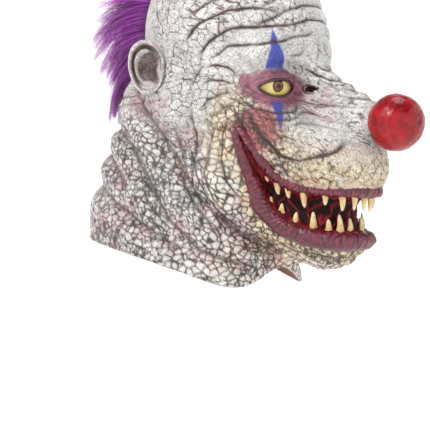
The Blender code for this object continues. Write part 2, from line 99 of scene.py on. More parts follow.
# Round forms of the head, blended in this order: kind, mirrored, where, size, blend width.
HEAD_FORMS = [  # name, mirrored, centre (x, f, z), radii (x, f, z), blend
    ("forehead",   False, (0, 62, -132), (94, 82, 62), 30),
    ("mid_face",   False, (0, 52, -225), (103, 90, 100), 34),
    ("cheek",      True,  (66, 100, -238), (42, 44, 36), 22),
    ("jaw_angle",  True,  (76, 34, -316), (38, 58, 50), 28),
]
BARS = [  # name, mirrored, start (x, f, z), end (x, f, z), radius at start and end, widening, blend
    ("upper_jaw",  False, (0, 80, -262), (0, 178, -290), 72, 58, 1.30, 30),
    ("lower_jaw",  False, (0, 60, -330), (0, 158, -378), 68, 50, 1.26, 22),
    ("brow",       True,  (15, 127, -150), (86, 98, -144), 21, 17, 1.0, 16),
    ("bridge",     False, (0, 110, -160), (0, 212, -230), 18, 27, 1.0, 24),
]

# Grin, by the angle round the muzzle from its middle.
GRIN_PIVOT_F = 40.0
GRIN = [  # angle, middle z, half opening
    (0,  -356, 24.0),
    (14, -355, 24.0),
    (28, -349, 22.5),
    (40, -336, 19.0),
    (50, -316, 14.0),
    (58, -292, 9.0),
    (65, -264, 4.5),
    (69, -246, 1.5),
]
LINING_EDGE, LINING_DEEP, LINING_WALL = 12.6, 3.0, 2.0  # pocket behind the lips, how much deeper its middle is, wall

LIP = [(1.8, -2.5), (1.0, 3.5), (2.7, 6.6), (6.5, 7.6), (10.5, 5.8), (13.5, 1.8), (14.0, -2.5)]  # section: away from the opening, off the skin

# Teeth, by their angle round the muzzle; each row is mirrored.
UPPER_TEETH = [  # angle, length, root radius, lean
    (3.2, 27.5, 4.2, 0), (9.6, 23.0, 3.9, 2), (16.2, 26.5, 4.2, -2), (22.8, 21.0, 3.9, 2),
    (29.4, 24.0, 4.0, -3), (36.2, 18.5, 3.6, 2), (42.8, 17.5, 3.4, -2), (49.2, 13.0, 3.0, 0),
]
LOWER_TEETH = [
    (6.4, 22.0, 3.9, -2), (13.0, 24.0, 4.1, 2), (19.6, 20.0, 3.9, -2), (26.4, 22.0, 3.9, 2),
    (33.2, 17.5, 3.6, -2), (40.0, 15.5, 3.4, 2), (46.4, 12.0, 3.0, 0),
]
TOOTH_WIDE = 1.32  # width of a tooth against its depth

# Hair strip along the middle of the head, from above the forehead to the nape.
HAIR = [  # place along it, root angle round the skull, hair length, angle the hair leaves at, half width
    (0.00,  66,  34,  84, 10),
    (0.15,  82,  56, 100, 15),
    (0.35, 106,  74, 122, 19),
    (0.55, 134,  86, 152, 21),
    (0.72, 160,  88, 182, 22),
    (0.87, 184, 100, 222, 21),
    (1.00, 204, 100, 250, 15),
]
SKULL_F, SKULL_Z = 14.0, -94.0
SKULL_RADII = (103, 121, 94)


# ---------------------------------------------------------------- shape functions

def column(table, index):
    return np.array([row[index] for row in table], float)


def curve_through(table, index, at, key=0):
    """A smooth curve through one column of a table, which never overshoots its rows."""
    xs, ys = column(table, key), column(table, index)
    slope = np.gradient(ys, xs)
    step = np.diff(ys) / np.diff(xs)
    for k, s in enumerate(step):
        for j in (k, k + 1):
            if s == 0 or slope[j] / s < 0:
                slope[j] = 0
            elif slope[j] / s > 3:
                slope[j] = 3 * s
    at = np.clip(at, xs[0], xs[-1])
    k = np.clip(np.searchsorted(xs, at, side="right") - 1, 0, len(xs) - 2)
    h = xs[k + 1] - xs[k]
    t = (at - xs[k]) / h
    return ((2 * t**3 - 3 * t**2 + 1) * ys[k] + (t**3 - 2 * t**2 + t) * h * slope[k]
            + (3 * t**2 - 2 * t**3) * ys[k + 1] + (t**3 - t**2) * h * slope[k + 1])


def ball_form(x, f, z, centre, radii):
    """Roughly the distance to an ellipsoid, negative inside."""
    p = [(x - centre[0]) / radii[0], (f - centre[1]) / radii[1], (z - centre[2]) / radii[2]]
    a = np.sqrt(p[0]**2 + p[1]**2 + p[2]**2)
    b = np.sqrt((p[0] / radii[0])**2 + (p[1] / radii[1])**2 + (p[2] / radii[2])**2)
    return a * (a - 1) / np.maximum(b, 1e-9)


def bar_form(x, f, z, start, end, r0, r1, widen):
    """Distance to a tapered bar with round ends."""
    px, pf, pz = (x - start[0]) / widen, f - start[1], z - start[2]
    d = ((end[0] - start[0]) / widen, end[1] - start[1], end[2] - start[2])
    t = np.clip((px * d[0] + pf * d[1] + pz * d[2]) / (d[0]**2 + d[1]**2 + d[2]**2), 0, 1)
    return np.sqrt((px - t * d[0])**2 + (pf - t * d[1])**2 + (pz - t * d[2])**2) - (r0 + (r1 - r0) * t)


def blend(a, b, width):
    h = np.maximum(width - np.abs(a - b), 0) / width
    return np.minimum(a, b) - h * h * width / 4


def carve(a, b, width):
    return -blend(-a, -b, width)


def neck_form(x, f, z):
    centre, half_x, half_f, corner = (curve_through(NECK, i, z) for i in (1, 2, 3, 4))
    angle = np.degrees(np.arctan2(np.abs(x), f - centre))
    more = corner * np.exp(-((angle - 36) / 22)**2)
    q = np.sqrt((x / (half_x + more))**2 + ((f - centre) / (half_f + more))**2)
    return carve((q - 1) * np.minimum(half_x, half_f), z + 110, 40)


def distance_to_line(f, z, points):
    best = np.full(np.shape(f), 1e12)
    for (f0, z0), (f1, z1) in zip(points[:-1], points[1:]):
        t = np.clip(((f - f0) * (f1 - f0) + (z - z0) * (z1 - z0)) / ((f1 - f0)**2 + (z1 - z0)**2), 0, 1)
        best = np.minimum(best, (f - f0 - t * (f1 - f0))**2 + (z - z0 - t * (z1 - z0))**2)
    return np.sqrt(best)


def head_form(x, f, z):
    """Roughly the distance to the outside of the mask, negative inside."""
    ax = np.abs(x)
    d = ball_form(x, f, z, (0, SKULL_F, SKULL_Z), SKULL_RADII)
    first, *others = HEAD_FORMS
    d = blend(d, ball_form(x, f, z, first[2], first[3]), first[4])
    d = blend(d, neck_form(x, f, z), 38)
    for _, mirrored, centre, radii, width in others[:1]:
        d = blend(d, ball_form(x, f, z, centre, radii), width)
    for _, mirrored, start, end, r0, r1, widen, width in BARS:
        d = blend(d, bar_form(ax if mirrored else x, f, z, start, end, r0, r1, widen), width)
    for _, mirrored, centre, radii, width in others[1:]:
        d = blend(d, ball_form(ax if mirrored else x, f, z, centre, radii), width)
    d = carve(d, -ball_form(ax, f, z, (60, 142, -182), (36, 33, 28)), 14)   # eye sockets
    d = blend(d, ball_form(ax, f, z, EYE_CENTRE, EYE_RADII), 6)             # lids
    for _, depth, width, points in FOLDS:
        r = distance_to_line(f, z, points)
        d = d + depth * np.exp(-(r / width)**2) - 0.35 * depth * np.exp(-((r - 2.4 * width) / (1.3 * width))**2)
    return d


def outward(points):
    """Unit normals of the head form at points."""
    h = 0.8
    g = np.stack([
        head_form(points[..., 0] + dx, points[..., 1] + df, points[..., 2] + dz)
        - head_form(points[..., 0] - dx, points[..., 1] - df, points[..., 2] - dz)
        for dx, df, dz in ((h, 0, 0), (0, h, 0), (0, 0, h))], -1)
    return g / np.linalg.norm(g, axis=-1, keepdims=True)


def grin(angle_deg):
    a = np.abs(angle_deg)
    return curve_through(GRIN, 1, a), curve_through(GRIN, 2, a)


def muzzle_points(angle, zs, lift=0.0):
    """Points on the muzzle at one angle round it, at the heights zs, lifted off its outside by lift."""
    s, c = math.sin(math.radians(angle)), math.cos(math.radians(angle))
    zs = np.asarray(zs, float)
    r = np.full(len(zs), 300.0)
    for _ in range(90):
        d = head_form(s * r, GRIN_PIVOT_F + c * r, zs) - lift
        r = r - 0.6 * d
        if np.abs(d).max() < 0.01:
            break
    return np.stack([s * r, GRIN_PIVOT_F + c * r, zs], -1)

# ---------------------------------------------------------------- noise

def hashed(ix, iy, iz, salt):
    """A repeatable pseudo-random number from 0 to 1 for each whole-number cell."""
    h = (ix.astype(np.int64) * 73856093) ^ (iy.astype(np.int64) * 19349663) ^ (iz.astype(np.int64) * 83492791) ^ (salt * 2654435761)
    h = (h ^ (h >> 13)) & 0xFFFFFFFF
    h = (h * 1274126177) & 0xFFFFFFFF
    h = (h ^ (h >> 16)) & 0xFFFFFFFF
    h = (h * 2246822519) & 0xFFFFFFFF
    h = (h ^ (h >> 15)) & 0xFFFFFFFF
    return h.astype(np.float64) / 4294967295.0


def noise(p, size, salt=0):
    """Smooth value noise from -1 to 1, with lumps about as wide as size."""
    q = p / size
    i = np.floor(q)
    t = q - i
    t = t * t * (3 - 2 * t)
    i = i.astype(np.int64)
    total = 0
    for dx in (0, 1):
        wx = t[..., 0] if dx else 1 - t[..., 0]
        for dy in (0, 1):
            wy = t[..., 1] if dy else 1 - t[..., 1]
            for dz in (0, 1):
                wz = t[..., 2] if dz else 1 - t[..., 2]
                total = total + wx * wy * wz * hashed(i[..., 0] + dx, i[..., 1] + dy, i[..., 2] + dz, salt)
    return total * 2 - 1


def cloudy(p, size, octaves=4, salt=0):
    total, amount, norm = 0, 1.0, 0
    for k in range(octaves):
        total = total + amount * noise(p, size / 2**k, salt + 17 * k)
        norm += amount
        amount *= 0.55
    return total / norm


def plates(p, size, salt=0, jitter=0.85):
    """Irregular plates: distance to the joint between two plates as a share of size, and a number for each plate."""
    q = p / size
    base = np.floor(q).astype(np.int64)
    first = np.full(q.shape[:-1], 1e9)
    second = np.full(q.shape[:-1], 1e9)
    ident = np.zeros(q.shape[:-1])
    for dx in (-1, 0, 1):
        for dy in (-1, 0, 1):
            for dz in (-1, 0, 1):
                cx, cy, cz = base[..., 0] + dx, base[..., 1] + dy, base[..., 2] + dz
                d = ((cx + 0.5 + jitter * (hashed(cx, cy, cz, salt) - 0.5) - q[..., 0])**2
                     + (cy + 0.5 + jitter * (hashed(cx, cy, cz, salt + 1) - 0.5) - q[..., 1])**2
                     + (cz + 0.5 + jitter * (hashed(cx, cy, cz, salt + 2) - 0.5) - q[..., 2])**2)
                nearer = d < first
                second = np.where(nearer, first, np.minimum(second, d))
                ident = np.where(nearer, hashed(cx, cy, cz, salt + 3), ident)
                first = np.where(nearer, d, first)
    return np.sqrt(second) - np.sqrt(first), ident


def step(low, high, x):
    t = np.clip((x - low) / (high - low), 0, 1)
    return t * t * (3 - 2 * t)


def unroll(p):
    """Millimetres round the head from its middle, always positive, and the height."""
    return np.abs(np.arctan2(p[..., 0], p[..., 1] - 40.0)) * 110.0, p[..., 2]


# ---------------------------------------------------------------- mesh helpers

def to_world(points):
    p = np.asarray(points, float)
    return np.stack([p[..., 0], -p[..., 1], p[..., 2]], -1) * MM


def grid_faces(rows, columns, around=True, along=False):
    r = np.arange(rows if along else rows - 1)
    c = np.arange(columns if around else columns - 1)
    r, c = np.meshgrid(r, c, indexing="ij")
    r2, c2 = (r + 1) % rows, (c + 1) % columns
    return np.stack([r * columns + c, r2 * columns + c, r2 * columns + c2, r * columns + c2], -1).reshape(-1, 4)


def mesh_object(name, points, faces, mat, paint=None, normals=None, out=None):
    """An object from design-axis points, with optional per-point paint values and normals.

    Its faces are turned to look along out, or out of the closed form when out isn't given.
    """
    mesh = bpy.data.meshes.new(name)
    world = to_world(points).reshape(-1, 3)
    way = normals if out is None else out
    corner = faces[:, :3] if isinstance(faces, np.ndarray) else np.array([f[:3] for f in faces])
    a, b, c = (world[corner[:, k]] for k in range(3))
    if way is None:
        middle = world.mean(0)
        turned = (np.cross(b - middle, c - middle) * (a - middle)).sum() < 0
    else:
        way = np.asarray(way, float).reshape(-1, 3) * np.array([1.0, -1.0, 1.0])
        turned = (np.cross(b - a, c - a) * way[corner[:, 0]]).sum() < 0
    if isinstance(faces, np.ndarray):
        if turned:
            faces = faces[:, ::-1]
        n, k = faces.shape
        mesh.vertices.add(len(world))
        mesh.vertices.foreach_set("co", world.ravel())
        mesh.loops.add(n * k)
        mesh.loops.foreach_set("vertex_index", np.ascontiguousarray(faces).ravel())
        mesh.polygons.add(n)
        mesh.polygons.foreach_set("loop_start", np.arange(n) * k)
        mesh.update(calc_edges=True)
        mesh.validate()
    else:
        mesh.from_pydata(world.tolist(), [], [f[::-1] if turned else f for f in faces])
    for key, values in (paint or {}).items():
        layer = mesh.attributes.new(key, "FLOAT", "POINT")
        layer.data.foreach_set("value", np.ascontiguousarray(values, dtype=np.float32).ravel())
    mesh.shade_smooth()
    if normals is not None:
        world_normals = np.stack([normals[..., 0], -normals[..., 1], normals[..., 2]], -1).reshape(-1, 3)
        mesh.normals_split_custom_set_from_vertices(world_normals.tolist())
    mesh.materials.append(mat)
    obj = bpy.data.objects.new(name, mesh)
    bpy.context.scene.collection.objects.link(obj)
    return obj


def used_only(points, faces, *arrays):
    """Drops the points that no face uses."""
    keep, back = np.unique(faces, return_inverse=True)
    return points.reshape(-1, points.shape[-1])[keep], back.reshape(faces.shape), [a.reshape((-1,) + a.shape[2:])[keep] for a in arrays]


def grid_normals(p, around=True):
    across = np.roll(p, -1, 1) - np.roll(p, 1, 1) if around else np.gradient(p, axis=1)
    along = np.gradient(p, axis=0)
    n = np.cross(across, -along)
    return n / np.maximum(np.linalg.norm(n, axis=-1, keepdims=True), 1e-9)


# ---------------------------------------------------------------- material helpers

class Nodes:
    """Short names for building a node material."""

    def __init__(self, name):
        self.mat = bpy.data.materials.new(name)
        self.mat.use_nodes = True
        self.tree = self.mat.node_tree
        self.shader = self.tree.nodes["Principled BSDF"]
        self.coords = self.tree.nodes.new("ShaderNodeTexCoord").outputs["Object"]

    def node(self, kind, **inputs):
        n = self.tree.nodes.new(kind)
        for key, value in inputs.items():
            self.put(n.inputs[key.replace("_", " ")], value)
        return n

    def put(self, socket, value):
        if isinstance(value, bpy.types.NodeSocket):
            self.tree.links.new(value, socket)
        elif isinstance(value, tuple) and len(value) == 3 and socket.type == "RGBA":
            socket.default_value = (*value, 1)
        else:
            socket.default_value = value

    def attribute(self, name):
        n = self.tree.nodes.new("ShaderNodeAttribute")
        n.attribute_name = name
        return n.outputs["Fac"]

    def noise(self, scale, detail=4, rough=0.55, coords=None, distortion=0.0):
        return self.node("ShaderNodeTexNoise", Vector=coords or self.coords, Scale=scale, Detail=detail,
                         Roughness=rough, Distortion=distortion).outputs["Fac"]

    def cells(self, scale, feature="DISTANCE_TO_EDGE", coords=None, output="Distance"):
        n = self.tree.nodes.new("ShaderNodeTexVoronoi")
        n.feature = feature
        self.put(n.inputs["Vector"], coords or self.coords)
        n.inputs["Scale"].default_value = scale
        return n.outputs[output]

    def stretched(self, x, y, z):
        n = self.tree.nodes.new("ShaderNodeMapping")
        self.tree.links.new(self.coords, n.inputs["Vector"])
        n.inputs["Scale"].default_value = (x, y, z)
        return n.outputs["Vector"]

    def math(self, op, a, b=0.0, clamp=False):
        n = self.tree.nodes.new("ShaderNodeMath")
        n.operation = op
        n.use_clamp = clamp
        self.put(n.inputs[0], a)
        self.put(n.inputs[1], b)
        return n.outputs[0]

    def ramp(self, value, low, high, out_low=0.0, out_high=1.0):
        n = self.tree.nodes.new("ShaderNodeMapRange")
        n.interpolation_type = "SMOOTHSTEP"
        self.put(n.inputs["Value"], value)
        for key, v in (("From Min", low), ("From Max", high), ("To Min", out_low), ("To Max", out_high)):
            n.inputs[key].default_value = v
        return n.outputs["Result"]

    def mix(self, factor, a, b, mode="MIX"):
        n = self.tree.nodes.new("ShaderNodeMix")
        n.data_type = "RGBA"
        n.blend_type = mode
        self.put(n.inputs["Factor"], factor)
        self.put(n.inputs["A"] if n.inputs["A"].type == "RGBA" else n.inputs[6], a)
        self.put(n.inputs["B"] if n.inputs["B"].type == "RGBA" else n.inputs[7], b)
        return [o for o in n.outputs if o.type == "RGBA"][0]

    def bump(self, height, strength, distance, after=None):
        n = self.tree.nodes.new("ShaderNodeBump")
        self.put(n.inputs["Height"], height)
        n.inputs["Strength"].default_value = strength
        n.inputs["Distance"].default_value = distance
        if after:
            self.tree.links.new(after, n.inputs["Normal"])
        return n.outputs["Normal"]

    def finish(self, **inputs):
        for key, value in inputs.items():
            self.put(self.shader.inputs[key.replace("_", " ")], value)
        return self.mat


def latex_skin():
    """White aged latex: grey and brown washes in the grooves, grease-paint areas from the paint values."""
    m = Nodes("latex_skin")
    groove, blue, rouge, lid = (m.attribute(k) for k in ("groove", "blue", "rouge", "lid"))
    cream, pink, dark, plate = (m.attribute(k) for k in ("cream", "pink", "dark", "plate"))
    flat = m.attribute("flat")
    fine = m.noise(420, 5, 0.6)
    broad = m.noise(34, 4, 0.6)
    patch = m.noise(90, 5, 0.65, distortion=0.6)
    white = m.mix(m.ramp(broad, 0.35, 0.68), (0.52, 0.505, 0.485), (0.80, 0.79, 0.775))
    white = m.mix(m.ramp(plate, 0.0, 1.0, 0.0, 0.60), white, (0.93, 0.925, 0.91))
    ochre = m.mix(m.ramp(patch, 0.38, 0.66), (0.78, 0.68, 0.48), (0.60, 0.42, 0.19))
    ochre = m.mix(m.ramp(plate, 0.1, 0.9, 0.0, 0.50), ochre, (0.83, 0.77, 0.62))
    colour = m.mix(m.math("MULTIPLY", cream, m.ramp(broad, 0.25, 0.55, 0.45, 0.9)), white, ochre)
    colour = m.mix(m.math("MULTIPLY", pink, m.ramp(patch, 0.3, 0.6, 0.30, 0.95)), colour, (0.50, 0.21, 0.26))
    # paint wears and thins out in a mottle
    worn = m.ramp(m.noise(150, 5, 0.7), 0.26, 0.42)
    red = m.mix(m.ramp(patch, 0.35, 0.65), (0.46, 0.050, 0.085), (0.27, 0.018, 0.045))
    colour = m.mix(m.math("MULTIPLY", rouge, m.math("MULTIPLY", worn, m.ramp(fine, 0.25, 0.55, 0.62, 0.92))), colour, red)
    rosy = m.mix(m.ramp(patch, 0.35, 0.65), (0.38, 0.085, 0.16), (0.15, 0.022, 0.065))
    colour = m.mix(m.math("MULTIPLY", lid, 0.92), colour, rosy)
    ink = m.mix(m.ramp(patch, 0.3, 0.7), (0.008, 0.026, 0.30), (0.016, 0.060, 0.50))
    colour = m.mix(m.math("MULTIPLY", blue, m.math("MULTIPLY", worn, 0.97)), colour, ink)
    # dirt wash in grooves, thin dark lines, speckle
    wash = m.math("ADD", m.math("MULTIPLY", groove, 1.15), m.ramp(fine, 0.48, 0.74, 0.0, 0.38))
    wash = m.math("MULTIPLY", wash, m.ramp(patch, 0.25, 0.6, 0.70, 1.0), True)
    grime = m.mix(m.ramp(broad, 0.4, 0.6), (0.030, 0.024, 0.024), (0.085, 0.038, 0.015))
    colour = m.mix(wash, colour, grime)
    speck = m.math("MULTIPLY", m.math("MULTIPLY", dark, m.math("SUBTRACT", 1.0, blue)), m.ramp(m.noise(260, 6, 0.75), 0.44, 0.60))
    colour = m.mix(speck, colour, (0.075, 0.068, 0.075))
    facets = m.math("MULTIPLY", m.ramp(m.cells(150), 0.0, 0.055, 0.85, 0.0), flat)
    colour = m.mix(m.math("MULTIPLY", facets, m.ramp(patch, 0.3, 0.6, 0.35, 1.0)), colour, (0.075, 0.055, 0.048))
    crackle = m.cells(300, coords=None)
    lines = m.ramp(crackle, 0.0, 0.09, 0.65, 0.0)
    colour = m.mix(m.math("MULTIPLY", lines, m.ramp(broad, 0.35, 0.65, 0.35, 1.0)), colour, (0.09, 0.072, 0.066))
    height = m.math("ADD", m.math("MULTIPLY", fine, 0.6), m.ramp(crackle, 0.0, 0.16, 0.0, 0.7))
    normal = m.bump(height, 0.55, 0.0009)
    rough = m.math("ADD", m.ramp(patch, 0.3, 0.7, 0.42, 0.58), m.math("MULTIPLY", groove, 0.12))
    return m.finish(Base_Color=colour, Roughness=rough, Normal=normal, Coat_Weight=0.06, Coat_Roughness=0.35)


def lining_latex():
    m = Nodes("lining_latex")
    broad = m.noise(40, 4, 0.6)
    colour = m.mix(m.ramp(broad, 0.3, 0.7), (0.10, 0.042, 0.022), (0.21, 0.095, 0.048))
    normal = m.bump(m.noise(260, 4, 0.6), 0.4, 0.0012)
    return m.finish(Base_Color=colour, Roughness=m.ramp(broad, 0.3, 0.7, 0.5, 0.7), Normal=normal)


def lip_latex():
    m = Nodes("lip_latex")
    rib, groove = m.attribute("rib"), m.attribute("groove")
    patch = m.noise(140, 5, 0.65)
    colour = m.mix(m.ramp(patch, 0.3, 0.7), (0.060, 0.004, 0.012), (0.145, 0.008, 0.026))
    # painted highlight: the rib value lightens the crests of the ribs; painted shade: the groove value darkens the
    # troughs between them, the crease along the lip, its turn into the mouth and its join with the skin
    colour = m.mix(m.math("MULTIPLY", rib, m.ramp(patch, 0.40, 0.68, 0.05, 0.62)), colour, (0.42, 0.09, 0.13))
    colour = m.mix(groove, colour, (0.035, 0.006, 0.010))
    normal = m.bump(m.noise(520, 4, 0.6), 0.35, 0.0008)
    return m.finish(Base_Color=colour, Roughness=m.ramp(patch, 0.3, 0.7, 0.30, 0.48), Normal=normal,
                    Coat_Weight=0.12, Coat_Roughness=0.25)


def mouth_wet():
    m = Nodes("mouth_wet")
    deep, strand = m.attribute("deep"), m.attribute("strand")
    patch = m.noise(150, 5, 0.65)
    colour = m.mix(m.ramp(patch, 0.3, 0.7), (0.060, 0.004, 0.006), (0.17, 0.012, 0.016))
    # painted shade: the deep value turns the back of the mouth pocket nearly black, and makes it rougher below
    colour = m.mix(deep, colour, (0.004, 0.0015, 0.0015))
    colour = m.mix(strand, colour, (0.20, 0.010, 0.014))
    normal = m.bump(m.noise(300, 5, 0.6), 0.5, 0.0012)
    rough = m.math("ADD", m.ramp(patch, 0.3, 0.7, 0.22, 0.38), m.math("MULTIPLY", deep, 0.45))
    return m.finish(Base_Color=colour, Roughness=rough, Normal=normal, Specular_IOR_Level=0.22)


def tooth_ivory():
    m = Nodes("tooth_ivory")
    root, tip = m.attribute("root"), m.attribute("tip")
    streak = m.noise(900, 5, 0.65, coords=m.stretched(1, 1, 0.16))
    patch = m.noise(120, 4, 0.6)
    colour = m.mix(m.ramp(patch, 0.3, 0.7), (0.58, 0.36, 0.12), (0.74, 0.56, 0.29))
    colour = m.mix(m.ramp(streak, 0.48, 0.66, 0.0, 0.70), colour, (0.30, 0.11, 0.03))
    colour = m.mix(m.math("MULTIPLY", root, m.ramp(streak, 0.3, 0.6, 0.7, 1.0)), colour, (0.14, 0.042, 0.014))
    colour = m.mix(m.math("MULTIPLY", tip, 0.5), colour, (0.88, 0.80, 0.60))
    normal = m.bump(streak, 0.45, 0.0007)
    return m.finish(Base_Color=colour, Roughness=m.ramp(streak, 0.3, 0.7, 0.22, 0.42), Normal=normal,
                    Coat_Weight=0.4, Coat_Roughness=0.15, Subsurface_Weight=0.08, Subsurface_Scale=0.003)


def nose_lacquer():
    m = Nodes("nose_lacquer")
    dent = m.attribute("dent")
    patch = m.noise(60, 5, 0.65)
    colour = m.mix(m.ramp(patch, 0.35, 0.7), (0.36, 0.003, 0.009), (0.19, 0.002, 0.007))
    colour = m.mix(m.math("MULTIPLY", dent, 0.75), colour, (0.10, 0.001, 0.003))
    normal = m.bump(m.noise(110, 4, 0.55), 0.55, 0.0026)
    return m.finish(Base_Color=colour, Roughness=m.ramp(m.noise(200, 4), 0.3, 0.7, 0.24, 0.36), Normal=normal,
                    Coat_Weight=0.22, Coat_Roughness=0.08, Specular_IOR_Level=0.22)


def eye_glaze():
    m = Nodes("eye_glaze")
    ring = m.attribute("ring")        # angle off the way the eye looks, in degrees
    spoke = m.attribute("spoke")      # angle round the iris, as turns
    turn = m.node("ShaderNodeCombineXYZ", X=m.math("MULTIPLY", spoke, 46.0), Y=m.math("MULTIPLY", ring, 0.10)).outputs[0]
    fibre = m.noise(2.2, 5, 0.6, coords=turn)
    vein = m.noise(130, 6, 0.8, distortion=1.6)
    white = m.mix(m.ramp(m.noise(70, 3), 0.35, 0.65), (0.70, 0.64, 0.22), (0.56, 0.43, 0.11))
    white = m.mix(m.ramp(ring, 26, 52, 0.0, 0.65), white, (0.46, 0.20, 0.07))
    thin = m.math("ABSOLUTE", m.math("SUBTRACT", vein, 0.5))
    white = m.mix(m.math("MULTIPLY", m.ramp(thin, 0.0, 0.018, 0.85, 0.0), m.ramp(ring, 17, 34)), white, (0.42, 0.03, 0.02))
    iris = m.mix(m.ramp(fibre, 0.32, 0.68), (0.030, 0.010, 0.003), (0.22, 0.075, 0.015))
    iris = m.mix(m.ramp(ring, 10.5, 14.8), iris, (0.030, 0.012, 0.006))
    colour = m.mix(m.ramp(ring, 14.4, 15.6), iris, white)
    colour = m.mix(m.ramp(ring, 4.6, 5.6), (0.004, 0.003, 0.003), colour)
    return m.finish(Base_Color=colour, Roughness=0.22, Coat_Weight=0.5, Coat_Roughness=0.03, Specular_IOR_Level=0.3)


def lid_edge():
    m = Nodes("lid_edge")
    patch = m.noise(260, 4, 0.6)
    colour = m.mix(m.ramp(patch, 0.3, 0.7), (0.020, 0.006, 0.010), (0.075, 0.014, 0.024))
    return m.finish(Base_Color=colour, Roughness=0.3, Normal=m.bump(patch, 0.4, 0.0008), Coat_Weight=0.3, Coat_Roughness=0.2)


def hair_fibre(name, dark, light):
    m = Nodes(name)
    tone, along = m.attribute("tone"), m.attribute("along")
    colour = m.mix(tone, dark, light)
    # painted shade: darker towards the roots, at the base of the strip; lighter and pinker towards the tips
    colour = m.mix(m.ramp(along, 0.0, 0.25, 0.75, 0.0), colour, (0.045, 0.004, 0.06))
    colour = m.mix(m.ramp(along, 0.45, 1.0, 0.0, 0.45), colour, (0.66, 0.17, 0.66))
    return m.finish(Base_Color=colour, Roughness=0.30, Specular_IOR_Level=0.6, Sheen_Weight=0.15, Sheen_Roughness=0.4)


# ---------------------------------------------------------------- skin detail

# Wrinkles as seen with the head unrolled: millimetres round from the middle, and height.
STROKES = [  # name, depth, width, (round, z) points
    ("forehead_1", 2.6, 4.2, ((0, -58), (34, -60), (70, -70), (104, -86))),
    ("forehead_2", 3.0, 4.4, ((0, -78), (30, -79), (66, -89), (112, -108))),
    ("forehead_3", 3.2, 4.4, ((0, -97), (26, -97), (58, -106), (100, -110), (142, -112), (180, -126), (206, -148))),
    ("forehead_4", 2.6, 4.0, ((14, -114), (40, -118), (76, -129), (112, -132), (150, -136), (184, -150))),
    ("forehead_5", 2.4, 4.4, ((70, -88), (112, -86), (150, -88), (196, -104), (226, -128))),
    ("forehead_6", 2.0, 4.6, ((92, -62), (136, -62), (178, -74), (214, -96))),
    ("forehead_0", 2.0, 4.2, ((0, -40), (36, -41), (76, -50))),
    ("frown_1",    2.4, 3.8, ((6, -122), (8, -138), (20, -154))),
    ("frown_2",    1.8, 3.8, ((34, -138), (48, -146), (66, -148))),
    ("bridge_1",   2.6, 3.6, ((0, -166), (12, -164), (24, -156))),
    ("bridge_2",   2.6, 3.4, ((0, -179), (11, -177), (24, -168), (36, -162))),
    ("bridge_3",   1.8, 3.4, ((0, -192), (8, -191), (16, -188))),
    ("bridge_4",   1.8, 3.2, ((0, -204), (10, -202), (22, -198))),
    ("bridge_5",   2.2, 3.2, ((10, -216), (22, -213), (36, -207), (52, -208))),
    ("snarl_1",    2.4, 3.6, ((20, -232), (34, -222), (52, -219), (70, -226))),
    ("snarl_2",    2.4, 3.6, ((24, -246), (40, -236), (60, -233), (78, -240))),
    ("smile",      2.9, 5.2, ((26, -256), (44, -274), (64, -284), (84, -280), (102, -258), (116, -232), (124, -212))),
    ("smile_out",  2.8, 4.4, ((92, -292), (108, -278), (122, -252), (136, -224), (142, -204))),
    ("corner_1",   3.2, 4.8, ((148, -224), (158, -250), (158, -282), (146, -314), (128, -338))),
    ("corner_2",   2.4, 4.4, ((166, -232), (178, -262), (178, -300), (164, -336), (142, -362))),
    ("corner_3",   2.0, 4.2, ((184, -240), (198, -276), (198, -318), (182, -356))),
    ("feet_1",     2.6, 3.6, ((134, -172), (152, -162), (176, -158), (196, -162))),
    ("feet_2",     2.8, 3.6, ((138, -182), (158, -178), (184, -180), (202, -188))),
    ("feet_3",     2.6, 3.6, ((138, -192), (158, -194), (182, -204), (198, -218))),
    ("feet_4",     2.2, 3.4, ((132, -202), (150, -210), (170, -224))),
    ("bag_1",      2.8, 3.8, ((44, -208), (62, -218), (88, -222), (114, -216), (132, -202))),
    ("bag_2",      2.2, 3.6, ((52, -220), (72, -230), (94, -232), (118, -226))),
    ("chin_1",     3.2, 4.6, ((0, -396), (26, -396), (56, -389), (84, -372), (106, -344))),
    ("chin_2",     2.4, 4.2, ((0, -411), (24, -410), (54, -404), (80, -392))),
    ("cleft",      2.4, 4.6, ((0, -398), (0, -428))),
    ("temple_1",   1.8, 4.0, ((196, -160), (214, -176), (222, -196))),
    ("behind_1",   2.0, 4.6, ((262, -150), (280, -178), (300, -196), (345, -206))),
    ("behind_2",   1.8, 4.6, ((258, -176), (282, -204), (345, -226))),
    ("side_1",     2.6, 5.0, ((216, -212), (204, -246), (196, -284), (176, -330), (150, -372))),
    ("side_2",     2.0, 4.6, ((236, -232), (226, -270), (214, -306), (190, -348), (160, -388))),
]


def eye_frame(side):
    t, d = math.radians(EYE_TURN), math.radians(EYE_DROP)
    axis = np.array([side * math.sin(t) * math.cos(d), math.cos(t) * math.cos(d), -math.sin(d)])
    across = np.array([side * math.cos(t), -math.sin(t), 0.0])   # outwards, level
    up = np.cross(across, axis) * side
    return np.array([side * EYE_CENTRE[0], EYE_CENTRE[1], EYE_CENTRE[2]]), axis, across, up / np.linalg.norm(up)


def almond(p):
    """How far a point is from the lid opening, by its outline: 1 on the edge, and the place in the eye's axes."""
    q = np.stack([np.abs(p[..., 0]), p[..., 1], p[..., 2]], -1)
    centre, axis, across, up = eye_frame(1)
    d = q - centre
    w, h, depth = d @ across, d @ up + 2.0, d @ axis
    wn = np.clip(np.abs(w) / EYE_OPEN[0], 0, 3)
    hn = np.abs(h) / EYE_OPEN[1]
    # the outline is h = sin(b)^1.25 against w = cos(b)
    m = (wn**2.0 + hn**1.6)**(1 / 1.8)
    return np.where(depth > 0, m, 9.0), w, h, depth


